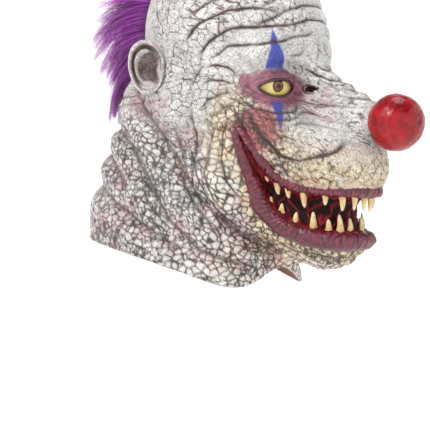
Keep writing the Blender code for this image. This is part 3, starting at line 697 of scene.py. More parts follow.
def grin_distance(p):
    """Signed distance to the edge of the grin, negative inside, and the angle round the muzzle."""
    a = np.degrees(np.arctan2(np.abs(p[..., 0]), p[..., 1] - GRIN_PIVOT_F))
    middle, half = grin(np.clip(a, 0, 69))
    h = 1.0
    m2, _ = grin(np.clip(a + h, 0, 69))
    reach = np.hypot(p[..., 0], p[..., 1] - GRIN_PIVOT_F)
    slope = (m2 - middle) / (math.radians(h) * np.maximum(reach, 40))
    q = (np.abs(p[..., 2] - middle) - half) / np.sqrt(1 + slope**2)
    past = np.maximum(a - 69, 0) * math.radians(1) * reach
    q = np.where(past > 0, np.hypot(np.maximum(q, 0), past), q)
    line = [(math.radians(turn) * 120.0, z) for turn, z, _ in GRIN]
    far = distance_to_line(np.radians(a) * 120.0, p[..., 2], line) - half * (a < 69)
    return np.where(q > 0, np.maximum(q, far), q), a


def cast(s, v):
    """Points of the outside where the grid's directions meet it."""
    u = math.pi * (0.45 * s + 0.55 * s**3)
    vv, uu = np.meshgrid(v, u, indexing="ij")
    start_f, start_z, front, side, back, rise = (curve_through(SECTIONS, i, vv) for i in range(1, 7))
    start_z = start_z + rise * ((1 + np.cos(uu)) / 2)**6
    climb = np.radians((front + 2 * side + back) / 4 + (front - back) / 2 * np.cos(uu)
                       + (front - 2 * side + back) / 4 * np.cos(2 * uu))
    d = (np.sin(uu) * np.cos(climb), np.cos(uu) * np.cos(climb), np.sin(climb))
    t = np.full(uu.shape, 340.0)
    active = np.ones(uu.shape, bool)
    for _ in range(70):
        away = head_form(d[0][active] * t[active], start_f[active] + d[1][active] * t[active], start_z[active] + d[2][active] * t[active])
        t[active] -= 0.75 * away
        index = np.flatnonzero(active)
        active.ravel()[index[np.abs(away) <= 0.02]] = False
        if not active.any():
            break
    return np.stack([d[0] * t, start_f + d[1] * t, start_z + d[2] * t], -1)


def skin_grid(columns, rows):
    """The outside of the mask as a fine grid, its rows and columns spaced evenly over the form."""
    s = np.linspace(-1, 1, 121)
    v = np.linspace(0.004, 1, 160)
    rough = cast(s, v)
    down = np.quantile(np.linalg.norm(np.diff(rough, axis=0), axis=-1), 0.85, axis=1)
    over = np.quantile(np.linalg.norm(np.diff(rough, axis=1), axis=-1), 0.85, axis=0)
    over = (over + over[::-1]) / 2
    down, over = np.concatenate([[0], np.cumsum(down)]), np.concatenate([[0], np.cumsum(over)])
    few_rows, few_columns = rows // 3, columns // 3
    v = np.interp(np.linspace(0, down[-1], few_rows), down, v)
    s = np.interp(np.linspace(0, over[-1], few_columns + 1)[:-1], over, s)
    grid = cast(s, v)
    # the points slide over the form until they lie evenly
    for k in range(160):
        inner = grid[1:-1]
        mean = (np.roll(inner, 1, 1) + np.roll(inner, -1, 1) + grid[:-2] + grid[2:]) / 4
        grid[1:-1] = inner + 0.7 * (mean - inner)
        if k % 4 == 3:
            n = outward(grid[1:-1])
            grid[1:-1] -= n * head_form(grid[1:-1, :, 0], grid[1:-1, :, 1], grid[1:-1, :, 2])[..., None]
    # enlarge and settle on the form
    at = np.linspace(0, few_rows - 1, rows)
    low = np.minimum(at.astype(int), few_rows - 2)
    t = (at - low)[:, None, None]
    grid = grid[low] * (1 - t) + grid[low + 1] * t
    at = np.arange(columns) * few_columns / columns
    low = at.astype(int)
    t = (at - low)[None, :, None]
    grid = grid[:, low] * (1 - t) + grid[:, (low + 1) % few_columns] * t
    for _ in range(3):
        n = outward(grid)
        grid = grid - n * np.clip(head_form(grid[..., 0], grid[..., 1], grid[..., 2]), -3, 3)[..., None]
    return grid


def skin_detail(p):
    """Height to add along the normal, and the paint values, at points of the smooth form."""
    around, z = unroll(p)
    lie, w, h, depth = almond(p)
    lip, turn = grin_distance(p)
    height = np.zeros(z.shape)
    groove = np.zeros(z.shape)
    wobble_a = around + 2.2 * noise(p, 26, 5) + 0.9 * noise(p, 9, 6)
    wobble_z = z + 2.6 * noise(p, 30, 7) + 1.0 * noise(p, 10, 8)
    for _, deep, wide, points in STROKES:
        r = distance_to_line(wobble_a, wobble_z, points)
        fade = 0.78 + 0.35 * noise(p, 40, 11)
        for end in (points[0], points[-1]):
            if end[0] > 3:
                fade = fade * step(0, 20, np.hypot(around - end[0], z - end[1]) + 3)
        cut = np.exp(-(r / (wide * 0.62))**2) * fade
        height += -1.25 * deep * cut + 0.60 * deep * fade * np.exp(-((r - wide * 1.9) / (wide * 1.05))**2)
        thin = np.exp(-(r / (wide * 0.36))**2) * fade
        groove = np.maximum(groove, np.clip(thin * deep / 2.2, 0, 1) * 0.95 + 0.28 * cut)
    # creases of the drape folds
    fold_pink = np.zeros(z.shape)
    for _, deep, wide, points in FOLDS:
        r = distance_to_line(p[..., 1], z, points)
        line = np.exp(-(r / 2.6)**2)
        height -= 1.6 * line
        groove = np.maximum(groove, 0.75 * line)
        fold_pink = np.maximum(fold_pink, np.exp(-(r / 11)**2))
    # secondary ripples along the folds of the neck
    neck = step(-215, -262, z + 0.34 * (p[..., 1] - 20)) * step(12, 40, lip)
    slant = z + 0.62 * p[..., 1]
    ripple = np.sin((slant + 7 * noise(p, 34, 21)) * 2 * math.pi / 13.0)
    height += neck * 0.75 * ripple * (0.5 + 0.5 * noise(p, 48, 22))
    # lids: rings of soft wrinkles round the eye
    lids = np.exp(-((lie - 1.05) / 0.55)**2) * (lie < 6)
    rings = np.cos((lie + 0.05 * noise(p, 12, 31)) * 2 * math.pi / 0.30)
    height += lids * (1.5 + 1.15 * rings) * step(0.95, 1.15, lie)
    groove = np.maximum(groove, lids * step(0.25, 0.95, -rings) * 0.75 * step(1.1, 1.3, lie))
    # plates: big on jaw and neck, small on the face
    jaw = step(70, 12, lip) * step(-250, -330, z - 0.2 * np.abs(lip)) * (lip > 0)
    below = step(-232, -300, z + 0.42 * (p[..., 1] - 30))
    scaly = np.clip(np.maximum(below, step(95, 20, lip) * step(20, 44, turn)), 0, 1)
    q = p + 2.2 * np.stack([noise(p, 14, 41), noise(p, 14, 42), noise(p, 14, 43)], -1)
    big, tone = plates(q * np.array([1.0, 1.0, 1.18]), 10.0, 3)
    small, tone2 = plates(q, 6.2, 13)
    crack, _ = plates(p * np.array([1.0, 1.0, 1.6]) + 3 * np.stack([noise(p, 20, 44), noise(p, 20, 45), noise(p, 20, 46)], -1), 17.0, 23)
    big_line = step(0.22, 0.05, big)
    small_line = step(0.17, 0.02, small)
    muzzle = step(64, 20, lip) * step(60, 44, turn) * step(-330, -300, z) * step(2, 9, lip)
    crack_line = np.maximum(step(0.075, 0.012, crack) * step(-0.25, 0.25, noise(p, 46, 47)), muzzle * step(0.11, 0.02, crack))
    calm = 1 - 0.92 * lids
    height += scaly * calm * (1.15 * step(0.0, 0.6, big) - 1.0)
    height += (1 - scaly) * calm * (0.26 * step(0.0, 0.9, small) - 0.2)
    height -= (0.7 + 0.6 * muzzle) * crack_line * calm - 0.7 * muzzle * step(0.05, 0.4, crack)
    line = np.maximum(scaly * big_line * 0.92, (1 - scaly) * small_line * 0.10)
    groove = np.maximum(groove, np.maximum(line, crack_line * 0.92) * calm)
    height += 0.9 * cloudy(p, 34, 3, 51) + 0.35 * noise(p, 8, 52)
    # paint
    eye_a, eye_z = 85.0, EYE_CENTRE[2]
    edge = 0.7 * noise(p, 9, 61) + 0.35 * noise(p, 3, 62)
    t = (z - (eye_z + 19)) / 54
    blue = step(-1.2, 1.2, 15.5 * np.clip(1 - t, 0, 1)**0.9 - np.abs(around - (eye_a - 3) - 5 * t) + edge) * step(-0.02, 0.05, t) * (t < 1)
    t = ((eye_z - 23) - z) / 38
    blue = np.maximum(blue, step(-1.2, 1.2, 8.5 * np.clip(1 - t, 0, 1) - np.abs(around - eye_a) + edge) * step(-0.02, 0.06, t) * (t < 1))
    cheek = np.hypot((around - 112) / 1.05, z + 243) + 5 * noise(p, 20, 63) + 2 * noise(p, 6, 64)
    rouge = step(36, 20, cheek) * step(0, 10, lip)
    lid = step(1.12, 0.86, np.hypot(w / 47, (h + 1) / 27) + 0.10 * noise(p, 11, 65)) * (depth > 0)
    cream = np.clip(step(88, 26, lip) * 0.95 + 0.25 * scaly * step(-0.1, 0.5, cloudy(p, 60, 2, 66)), 0, 1)
    pink = np.clip(0.75 * fold_pink * step(-0.5, 0.4, noise(p, 30, 67)) + 0.6 * step(0.12, 0.6, cloudy(p, 52, 3, 68))
                   + 0.55 * step(26, 5, lip), 0, 1)
    forehead = step(-150, -110, z)
    pink = np.clip(pink + 0.35 * forehead * step(0.3, 0.9, groove), 0, 1)
    dark = np.clip(step(0.02, 0.6, cloudy(p, 44, 3, 69)) * (0.35 + 0.65 * neck) + 0.35 * step(180, 240, around), 0, 1)
    plate = scaly * step(0.1, 0.7, big) * (0.35 + 0.65 * tone) + (1 - scaly) * 0.5 * tone2
    # the grin's pocket and the hollow behind the lids
    inside = step(1.5, -3.0, lip)
    keep = 1 - inside
    height = height * keep
    pocket = -(3.5 + 9.4 * step(-2, -9, lip)) * step(2.0, -3.5, lip)
    height = np.where(lip < 3, height + pocket, height)
    well = step(1.02, 0.86, lie)
    height = height * (1 - well) - 12.0 * well
    return height, {"groove": groove * keep, "blue": blue, "rouge": rouge, "lid": lid, "cream": cream, "pink": pink,
                    "dark": dark, "plate": plate, "flat": (1 - scaly) * calm}, lip, lie


def build_skin(mat, wet):
    columns, rows = ((520, 380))
    base = skin_grid(columns, rows)
    normal = outward(base)
    height, paint, lip, lie = skin_detail(base)
    skin = base + normal * height[..., None]
    smooth = grid_normals(skin)
    if (smooth * normal).sum() < 0:
        smooth = -smooth
    smooth[0] = smooth[0].mean(0) / np.linalg.norm(smooth[0].mean(0))
    faces = grid_faces(rows, columns)
    top = skin[0].mean(0) + [0, 0, 0.2]
    n = rows * columns
    mouth = (lip.reshape(-1)[faces] < 2.5).all(1)
    # sight holes: the faces inside them go
    peep = np.sqrt(((np.abs(skin[..., 0]) - PEEP_CENTRE[0]) / PEEP_RADII[0])**2 + ((skin[..., 1] - PEEP_CENTRE[1]) / PEEP_RADII[1])**2
                   + ((skin[..., 2] - PEEP_CENTRE[2]) / PEEP_RADII[2])**2)
    hole = (peep.reshape(-1)[faces] < 1.0).all(1)
    split = (faces[:, 0] // columns) >= rows // 2
    made = []
    for name, choose, m, node in (("skin_upper", ~split & ~mouth & ~hole, mat, "mask_shell"), ("skin_lower", split & ~mouth & ~hole, mat, "mask_shell"),
                                  ("mouth_pocket", mouth, wet, "mouth_lining")):
        f = faces[choose]
        pts, f, arrays = used_only(skin, f, smooth, lip, *paint.values())
        values = dict(zip(paint, arrays[2:]))
        if name == "mouth_pocket":
            around, z = unroll(pts)
            # deep rises from the grin's edge inwards: the back of the pocket is painted dark as shade
            values["deep"] = step(-3, -9, arrays[1]) * 0.95
            slant = around + 0.55 * (z + 350) * np.where(noise(pts, 34, 73) > 0, 1, -1)
            values["strand"] = step(0.62, 0.95, np.sin(slant * 2 * math.pi / 12.0 + 2.4 * noise(pts, 11, 71))) * step(-1.0, 0.2, noise(pts, 20, 74))
            pts = pts + arrays[0] * (2.6 * values["strand"] + 0.7 * noise(pts, 5, 72))[:, None]
        obj = mesh_object(name, pts, f, m, values, arrays[0] if name != "mouth_pocket" else None, arrays[0])
        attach(obj, "root")
        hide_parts(node)
        made.append(obj)
    # crown cap
    ring = np.arange(columns)
    cap = np.stack([np.full(columns, columns), ring, np.roll(ring, -1)], -1)
    pts = np.concatenate([skin[0], [top]])
    values = {k: np.append(a[0], a[0].mean()) for k, a in paint.items()}
    obj = mesh_object("skin_crown", pts, cap, mat, values, np.concatenate([smooth[0], [[0, 0, 1.0]]]))
    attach(obj, "root")
    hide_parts("mask_shell")
    return base, normal, skin, smooth, height


def build_inside(base, normal, skin, smooth, height, mat):
    """The bare brown latex of the inside, and the rolled rim of the neck skirt."""
    every = 3
    low = np.minimum(height, 0)
    for axis in (0, 1):
        near = [low]
        for shift in (1, 2, 3, 4):
            near += [np.roll(low, shift, axis), np.roll(low, -shift, axis)]
            if axis == 0:
                near[-2][:shift], near[-1][-shift:] = low[:shift], low[-shift:]
        low = np.minimum.reduce(near)
    base = base + normal * (np.clip(low, -8, 0) - 0.4)[..., None]
    b, n = base[::every, ::every], normal[::every, ::every]
    rows, columns = b.shape[:2]
    if (base.shape[0] - 1) % every:
        b = np.concatenate([b, base[-1:, ::every]])
        n = np.concatenate([n, normal[-1:, ::every]])
        rows += 1
    deep = 2.6 + 0.5 * noise(b, 16, 81)
    lie, _, _, _ = almond(b)
    lip, _ = grin_distance(b)
    keep = ((lie > 1.25) & (lip > 4)).reshape(-1)
    faces = grid_faces(rows, columns)
    peep = np.sqrt(((np.abs(b[..., 0]) - PEEP_CENTRE[0]) / (PEEP_RADII[0] + 1))**2 + ((b[..., 1] - PEEP_CENTRE[1]) / PEEP_RADII[1])**2
                   + ((b[..., 2] - PEEP_CENTRE[2]) / (PEEP_RADII[2] + 1))**2).reshape(-1)
    faces = faces[keep[faces].all(1) & (peep[faces] > 1).any(1)]
    pts, f, arrays = used_only(b - n * deep[..., None], faces, -n)
    obj = mesh_object("inside_latex", pts, f, mat, out=arrays[0])
    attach(obj, "root")
    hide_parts("mask_shell")
    # rim
    last, out = skin[-1], smooth[-1]
    inner = base[-1] - normal[-1] * (2.6 + 0.5 * noise(base[-1:], 16, 81)[0])[:, None]
    down = skin[-1] - skin[-3]
    down /= np.linalg.norm(down, axis=1, keepdims=True)
    rings = []
    for k in range(9):
        a = math.pi * k / 8
        middle, half = (last + inner) / 2, (last - inner) / 2
        rings.append(middle + half * math.cos(a) + down * (1.4 * math.sin(a)))
    return np.array(rings)


def build_rim(rings, mat):
    faces = grid_faces(rings.shape[0], rings.shape[1])
    n = rings[..., 0].shape
    values = {k: np.zeros(n) for k in ("blue", "rouge", "lid", "dark", "flat")}
    values.update(groove=np.full(n, 0.25), cream=np.full(n, 0.25), pink=np.full(n, 0.3), plate=np.full(n, 0.3))
    obj = mesh_object("rim_edge", rings, faces, mat, values, out=rings - (rings[0] + rings[-1]) / 2)
    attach(obj, "root")
    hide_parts("mask_shell")


# ---------------------------------------------------------------- lips, gums, teeth

def grin_edge(steps):
    """Points all round the grin's edge on the smooth form, their normals, and the way outwards from the opening."""
    half_turn = [(a, 1) for a in np.linspace(-68, 68, steps)] + [(a, -1) for a in np.linspace(68, -68, steps)]
    edge = []
    for a, side in half_turn:
        middle, half = (float(q) for q in grin(a))
        edge.append(muzzle_points(a, [middle + side * half])[0])
    edge = np.array(edge)
    # even spacing
    loop = np.concatenate([edge, edge[:1]])
    length = np.concatenate([[0], np.cumsum(np.linalg.norm(np.diff(loop, axis=0), axis=1))])
    at = np.linspace(0, length[-1], 4 * steps + 1)[:-1]
    edge = np.stack([np.interp(at, length, loop[:, k]) for k in range(3)], -1)
    for _ in range(3):
        edge = (np.roll(edge, 1, 0) + 2 * edge + np.roll(edge, -1, 0)) / 4
    for _ in range(4):
        d = head_form(edge[:, 0], edge[:, 1], edge[:, 2])
        n = outward(edge)
        edge = edge - n * d[:, None]
    n = outward(edge)
    for _ in range(6):
        n = (np.roll(n, 1, 0) + n + np.roll(n, -1, 0)) / 3
        n /= np.linalg.norm(n, axis=1, keepdims=True)
    square = np.stack([edge[:, 0], edge[:, 1] - GRIN_PIVOT_F, 0 * edge[:, 0]], -1)
    square /= np.linalg.norm(square, axis=1, keepdims=True)
    n = 0.35 * n + 0.65 * square
    n /= np.linalg.norm(n, axis=1, keepdims=True)
    along = np.roll(edge, -2, 0) - np.roll(edge, 2, 0)
    along /= np.linalg.norm(along, axis=1, keepdims=True)
    away = np.cross(along, n)
    away /= np.linalg.norm(away, axis=1, keepdims=True)
    return edge, n, away, at


LIP_SECTION = [  # away from the opening, off the skin
    (3.0, -9.0), (1.2, -6.5), (0.2, -2.5), (0.0, 1.2), (0.9, 4.4), (3.0, 6.8), (5.8, 8.2), (9.0, 8.6),
    (12.2, 7.8), (15.2, 5.8), (17.4, 3.2), (18.8, 0.4), (19.4, -2.4),
]


def build_lips(mat):
    steps = 170
    edge, n, away, at = grin_edge(steps)
    section = np.array(LIP_SECTION)
    m = 26
    key = np.linspace(0, len(section) - 1, m)
    w = np.interp(key, np.arange(len(section)), section[:, 0])
    h = np.interp(key, np.arange(len(section)), section[:, 1])
    for _ in range(2):
        w[1:-1] = (w[:-2] + 2 * w[1:-1] + w[2:]) / 4
        h[1:-1] = (h[:-2] + 2 * h[1:-1] + h[2:]) / 4
    turn = np.degrees(np.arctan2(np.abs(edge[:, 0]), edge[:, 1] - GRIN_PIVOT_F))
    size = 0.52 + 0.48 * np.clip((72 - turn) / 24, 0, 1)
    middle, _ = grin(np.clip(turn, 0, 69))
    lower = step(2, -2, edge[:, 2] - middle) * step(66, 50, turn)
    size = size * (1 + 0.16 * lower)
    pts = (edge[:, None] + away[:, None] * (w[None, :, None] * size[:, None, None])
           + n[:, None] * (np.where(h > 0, h[None, :] * size[:, None], h[None, :])[..., None]))
    normals = grid_normals(pts.transpose(1, 0, 2)).transpose(1, 0, 2)
    if (normals[:, 12] * n).sum() < 0:
        normals = -normals
    k = np.arange(m)[None, :]
    top = np.exp(-((k - 12.5) / 7.5)**2)
    wander = 2.6 * noise(pts, 16, 91) + 1.3 * noise(pts, 6, 92)
    rib = np.cos((at[:, None] + wander * 1.6 + 2.2 * np.sin(k * 0.33 + 0.05 * at[:, None])) * 2 * math.pi / 5.6)
    rib = np.sign(rib) * np.abs(rib)**0.8 * (0.62 + 0.55 * noise(pts, 8, 95))
    rib2 = np.cos((at[:, None] + 4.0 * noise(pts, 13, 94)) * 2 * math.pi / 13.0)
    swell = top * (0.95 * rib + 0.65 * rib2) * size[:, None] + 1.1 * noise(pts, 12, 93) + 0.5 * noise(pts, 4.5, 96)
    swell = swell - 0.8 * np.exp(-((k - 17.5) / 1.6)**2) * (0.6 + 0.6 * noise(pts, 14, 97))
    pts = pts + normals * swell[..., None]
    # painted light on the lips: rib lays a painted highlight on the crests of the ribs, groove lays painted shade in
    # the troughs, in the crease along the lip, where it turns into the mouth and where it meets the skin
    values = {"rib": np.clip(0.35 + 0.75 * rib, 0, 1) * top * 0.9,
              "groove": np.clip(0.75 * step(0.1, 0.8, -rib) * top + 0.3 * np.exp(-((k - 17.5) / 1.6)**2) + step(6, 0, k) * 0.9 + step(21, 25, k) * 0.7, 0, 1)}
    faces = grid_faces(pts.shape[0], m, around=False, along=True)
    n_all = pts.shape[0] * m
    obj = mesh_object("lips", pts, faces, mat, values, out=normals)
    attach(obj, "root")
    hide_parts("lip_roll")


def build_gums(mat):
    """A lumpy ridge that the teeth stand in, above and below."""
    for name, side in (("gum_upper", 1), ("gum_lower", -1)):
        angles = np.linspace(-56, 56, 150)
        centre = []
        for a in angles:
            middle, half = (float(q) for q in grin(a))
            fade = max(0.0, 1 - max(0.0, abs(a) - 46) / 12)
            centre.append(muzzle_points(a, [middle + side * (half + 4.0)], -(WALL + 5.6))[0])
        centre = np.array(centre)
        n = outward(centre)
        m = 16
        b = np.linspace(0, 2 * math.pi, m + 1)[:-1]
        up = np.array([0, 0, 1.0])
        lump = 1 + 0.16 * np.sin(np.arange(len(angles)) * 2 * math.pi / 8.6)
        thick = np.clip((57 - np.abs(angles)) / 8, 0.05, 1) * lump
        pts = (centre[:, None] + n[:, None] * (4.6 * thick[:, None] * np.cos(b)[None])[..., None]
               + up * (6.0 * thick[:, None] * np.sin(b)[None])[..., None])
        pts = pts + 0.5 * noise(pts, 5, 101)[..., None] * n[:, None]
        faces = grid_faces(len(angles), m)
        values = {"deep": np.zeros(pts.shape[:2]), "strand": np.clip(0.35 + 0.5 * noise(pts, 6, 102), 0, 1)}
        obj = mesh_object(name, pts, faces, mat, values, out=pts - centre[:, None])
        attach(obj, "root")
        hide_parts("mouth_lining")


def build_teeth(mat):
    for word, table, way in (("upper", UPPER_TEETH, 1), ("lower", LOWER_TEETH, -1)):
        points, faces, root_v, tip_v, offset = [], [], [], [], 0
        nodes = []
        for side, letter in ((1, "l"), (-1, "r")):
            for k, (angle, length, radius, lean) in enumerate(table, 1):
                nodes.append(f"tooth_{word}_{letter}{k}")
                middle, half = (float(q) for q in grin(angle))
                root_z = middle + way * (half + 3.5)
                a = math.radians(side * angle)
                base = muzzle_points(side * angle, [root_z])[0]
                nrm = outward(base[None])[0]
                root = base - nrm * (WALL + GAP + radius + 1.0)
                sideways = np.array([math.cos(a), -math.sin(a), 0]) * math.tan(math.radians(side * lean)) * length
                tip = root + np.array([0, 0, -way * (length + 1.5)]) + sideways - nrm * (0.06 * length)
                rings, sides = 15, 18
                seed = k * 7 + (3 if side > 0 else 0) + (50 if way > 0 else 0)
                tip = root + (tip - root) * (1.04 + 0.10 * math.sin(2.3 * seed))
                b = np.linspace(0, 2 * math.pi, sides + 1)[:-1]
                flute = 1 + 0.045 * np.cos(5 * b + seed) + 0.03 * np.cos(3 * b + 2 * seed)
                right = np.array([math.cos(a), -math.sin(a), 0])
                fwd = np.array([math.sin(a), math.cos(a), 0])
                for r in range(rings):
                    s = r / (rings - 1)
                    swell = (1 - s)**0.50 * (0.92 + 0.22 * math.exp(-((s - 0.16) / 0.14)**2)) * (1 - 0.16 * math.exp(-((s - 0.02) / 0.05)**2)) + 0.05
                    bend = right * (0.9 * math.sin(seed) * math.sin(math.pi * s)) + nrm * (0.9 * math.sin(math.pi * s * 0.9))
                    centre = root + (tip - root) * s + bend
                    ring = centre + (right[None] * (1.72 * np.cos(b))[:, None] + fwd[None] * (1.0 * np.sin(b))[:, None]) * (radius * swell * flute)[:, None]
                    points.append(ring)
                    root_v.append(np.full(sides, max(0.0, 1 - s / 0.30)))
                    tip_v.append(np.full(sides, max(0.0, (s - 0.6) / 0.4)))
                grid = grid_faces(rings, sides) + offset
                faces += [tuple(q) for q in grid.tolist()]
                last = offset + (rings - 1) * sides
                faces.append(tuple(range(last, last + sides))[::-1])
                faces.append(tuple(range(offset, offset + sides)))
                offset += rings * sides
        obj = mesh_object(f"teeth_{word}", np.concatenate(points), faces, mat,
                          {"root": np.concatenate(root_v), "tip": np.concatenate(tip_v)})
        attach(obj, "root")
        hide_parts(*nodes)


# ---------------------------------------------------------------- eyes, nose, ears

def build_eyes(glaze, edge_mat):
    for name, side in (("eye_left", 1), ("eye_right", -1)):
        centre, axis, across, up = eye_frame(side)
        look = axis + 0.05 * across + 0.02 * up
        look /= np.linalg.norm(look)
        radii = np.array(EYE_RADII) - 3.3
        rings, size = (30, 60)
        ang = np.radians(np.linspace(0.4, 62, rings))
        b = np.linspace(0, 2 * math.pi, size + 1)[:-1]
        d = (axis[None, None] * np.cos(ang)[:, None, None]
             + (across[None, None] * np.cos(b)[None, :, None] + up[None, None] * np.sin(b)[None, :, None]) * np.sin(ang)[:, None, None])
        stretch = 1 / np.sqrt(((d / radii)**2).sum(-1))
        pts = centre + d * stretch[..., None]
        off = np.degrees(np.arccos(np.clip((d * look).sum(-1), -1, 1)))
        bulge = 0.9 * np.exp(-(off / 11.0)**4)
        pts = pts + d * bulge[..., None]
        spoke = np.arctan2((d * up).sum(-1), (d * across).sum(-1)) / (2 * math.pi)
        obj = mesh_object(name + "_ball", pts, grid_faces(rings, size), glaze, {"ring": off, "spoke": np.abs(spoke)}, out=d)
        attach(obj, "root")
        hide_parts(name)
        # the wet edge of both lids
        count, m = 150, 12
        b = np.linspace(0, 2 * math.pi, count + 1)[:-1]
        w = EYE_OPEN[0] * np.cos(b)
        h = EYE_OPEN[1] * np.sign(np.sin(b)) * np.abs(np.sin(b))**1.25 - 2.0
        line = centre + axis * 36.0 + across * w[:, None] + up * h[:, None]
        for _ in range(40):
            line = line - axis * (0.8 * head_form(line[:, 0], line[:, 1], line[:, 2]))[:, None]
        n = outward(line)
        along = np.roll(line, -1, 0) - np.roll(line, 1, 0)
        along /= np.linalg.norm(along, axis=1, keepdims=True)
        out = np.cross(along, n)
        c = np.linspace(0, 2 * math.pi, m + 1)[:-1]
        thick = 1.7 + 0.5 * np.clip(np.sin(b), 0, 1) + 0.25 * noise(line, 5, 111)
        tube = (line[:, None] - n[:, None] * 0.4 + n[:, None] * (thick[:, None] * 1.15 * np.sin(c)[None])[..., None]
                + out[:, None] * (thick[:, None] * np.cos(c)[None])[..., None])
        rim = mesh_object(name + "_lid_edge", tube, grid_faces(count, m, along=True), edge_mat, out=tube - line[:, None])
        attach(rim, "root")
        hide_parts(name)


def build_sight_rims(mat):
    """The rolled edge of each sight hole."""
    for name, side in (("sight_rim_left", 1), ("sight_rim_right", -1)):
        count, m = 72, 10
        b = np.linspace(0, 2 * math.pi, count + 1)[:-1]
        f = np.linspace(PEEP_CENTRE[1] - 29, PEEP_CENTRE[1] + 29.5, 160)[:, None]
        share = np.sqrt(1 - ((f - PEEP_CENTRE[1]) / (PEEP_RADII[1] + 0.1))**2)
        tunnel = np.stack([side * (PEEP_CENTRE[0] + (PEEP_RADII[0] + 0.4) * share * np.cos(b)), f + 0 * b,
                           PEEP_CENTRE[2] + (PEEP_RADII[2] + 0.4) * share * np.sin(b)], -1)
        beyond = head_form(tunnel[..., 0], tunnel[..., 1], tunnel[..., 2]) > 0
        exit_at = np.where(beyond.any(0), beyond.argmax(0), len(f) - 1)
        line = tunnel[exit_at, np.arange(count)]
        for _ in range(2):
            line = (np.roll(line, 1, 0) + 2 * line + np.roll(line, -1, 0)) / 4
        n = outward(line)
        along = np.roll(line, -1, 0) - np.roll(line, 1, 0)
        along /= np.linalg.norm(along, axis=1, keepdims=True)
        out = np.cross(along, n)
        c = np.linspace(0, 2 * math.pi, m + 1)[:-1]
        thick = 1.25 + 0.3 * noise(line, 5, 151)
        tube = (line[:, None] - n[:, None] * 0.5 + n[:, None] * (thick[:, None] * 1.2 * np.sin(c)[None])[..., None]
                + out[:, None] * (thick[:, None] * np.cos(c)[None])[..., None])
        obj = mesh_object(name, tube, grid_faces(count, m, along=True), mat, out=tube - line[:, None])
        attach(obj, "root")
        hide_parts("mask_shell")


def build_nose(mat):
    rings, size = ((110, 160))
    a = np.linspace(0.02, math.pi - 0.02, rings)
    b = np.linspace(0, 2 * math.pi, size + 1)[:-1]
    d = np.stack([np.sin(a)[:, None] * np.cos(b)[None], np.cos(a)[:, None] * np.ones(size)[None], np.sin(a)[:, None] * np.sin(b)[None]], -1)
    lump = 1.3 * cloudy(d * NOSE_RADIUS, 20, 3, 121) + 0.35 * noise(d * NOSE_RADIUS, 6, 122)
    dent = step(0.25, -0.55, cloudy(d * NOSE_RADIUS, 13, 3, 124))
    pts = np.array(NOSE_CENTRE) + d * (NOSE_RADIUS - 0.4 + lump - 0.7 * dent)[..., None]
    obj = mesh_object("nose", pts, grid_faces(rings, size), mat, {"dent": dent * 0.6}, out=d)
    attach(obj, "root")
    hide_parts("nose_ball")


def ear_height(w, h, share):
    """Relief of the ear's face: w forward, h up, both from -1 to 1; share is the place from middle to rim."""
    angle = np.arctan2(h, -w)                 # 0 at the back, 90 up
    helix = np.exp(-((share - 0.90) / 0.085)**2) * step(-2.2, -1.5, angle) * (1 - 0.55 * step(2.2, 2.9, angle))
    scapha = np.exp(-((share - 0.74) / 0.075)**2) * step(-1.6, -0.6, angle) * step(2.5, 1.7, angle)
    anti = np.exp(-((share - 0.58) / 0.085)**2) * step(-1.9, -1.0, angle) * step(2.2, 1.2, angle)
    bowl = np.exp(-(((w - 0.12) / 0.40)**2 + ((h + 0.10) / 0.36)**2))
    upper = np.exp(-(((w - 0.18) / 0.30)**2 + ((h - 0.42) / 0.16)**2))
    tragus = np.exp(-(((w - 0.66) / 0.20)**2 + ((h + 0.10) / 0.20)**2))
    antitragus = np.exp(-(((w - 0.16) / 0.20)**2 + ((h + 0.54) / 0.12)**2))
    lobe = np.exp(-(((w - 0.10) / 0.5)**2 + ((h + 0.84) / 0.24)**2))
    return 1.5 + 7.4 * helix - 3.2 * scapha + 6.4 * anti - 12.5 * bowl - 5.0 * upper + 8.0 * tragus + 4.6 * antitragus + 3.0 * lobe


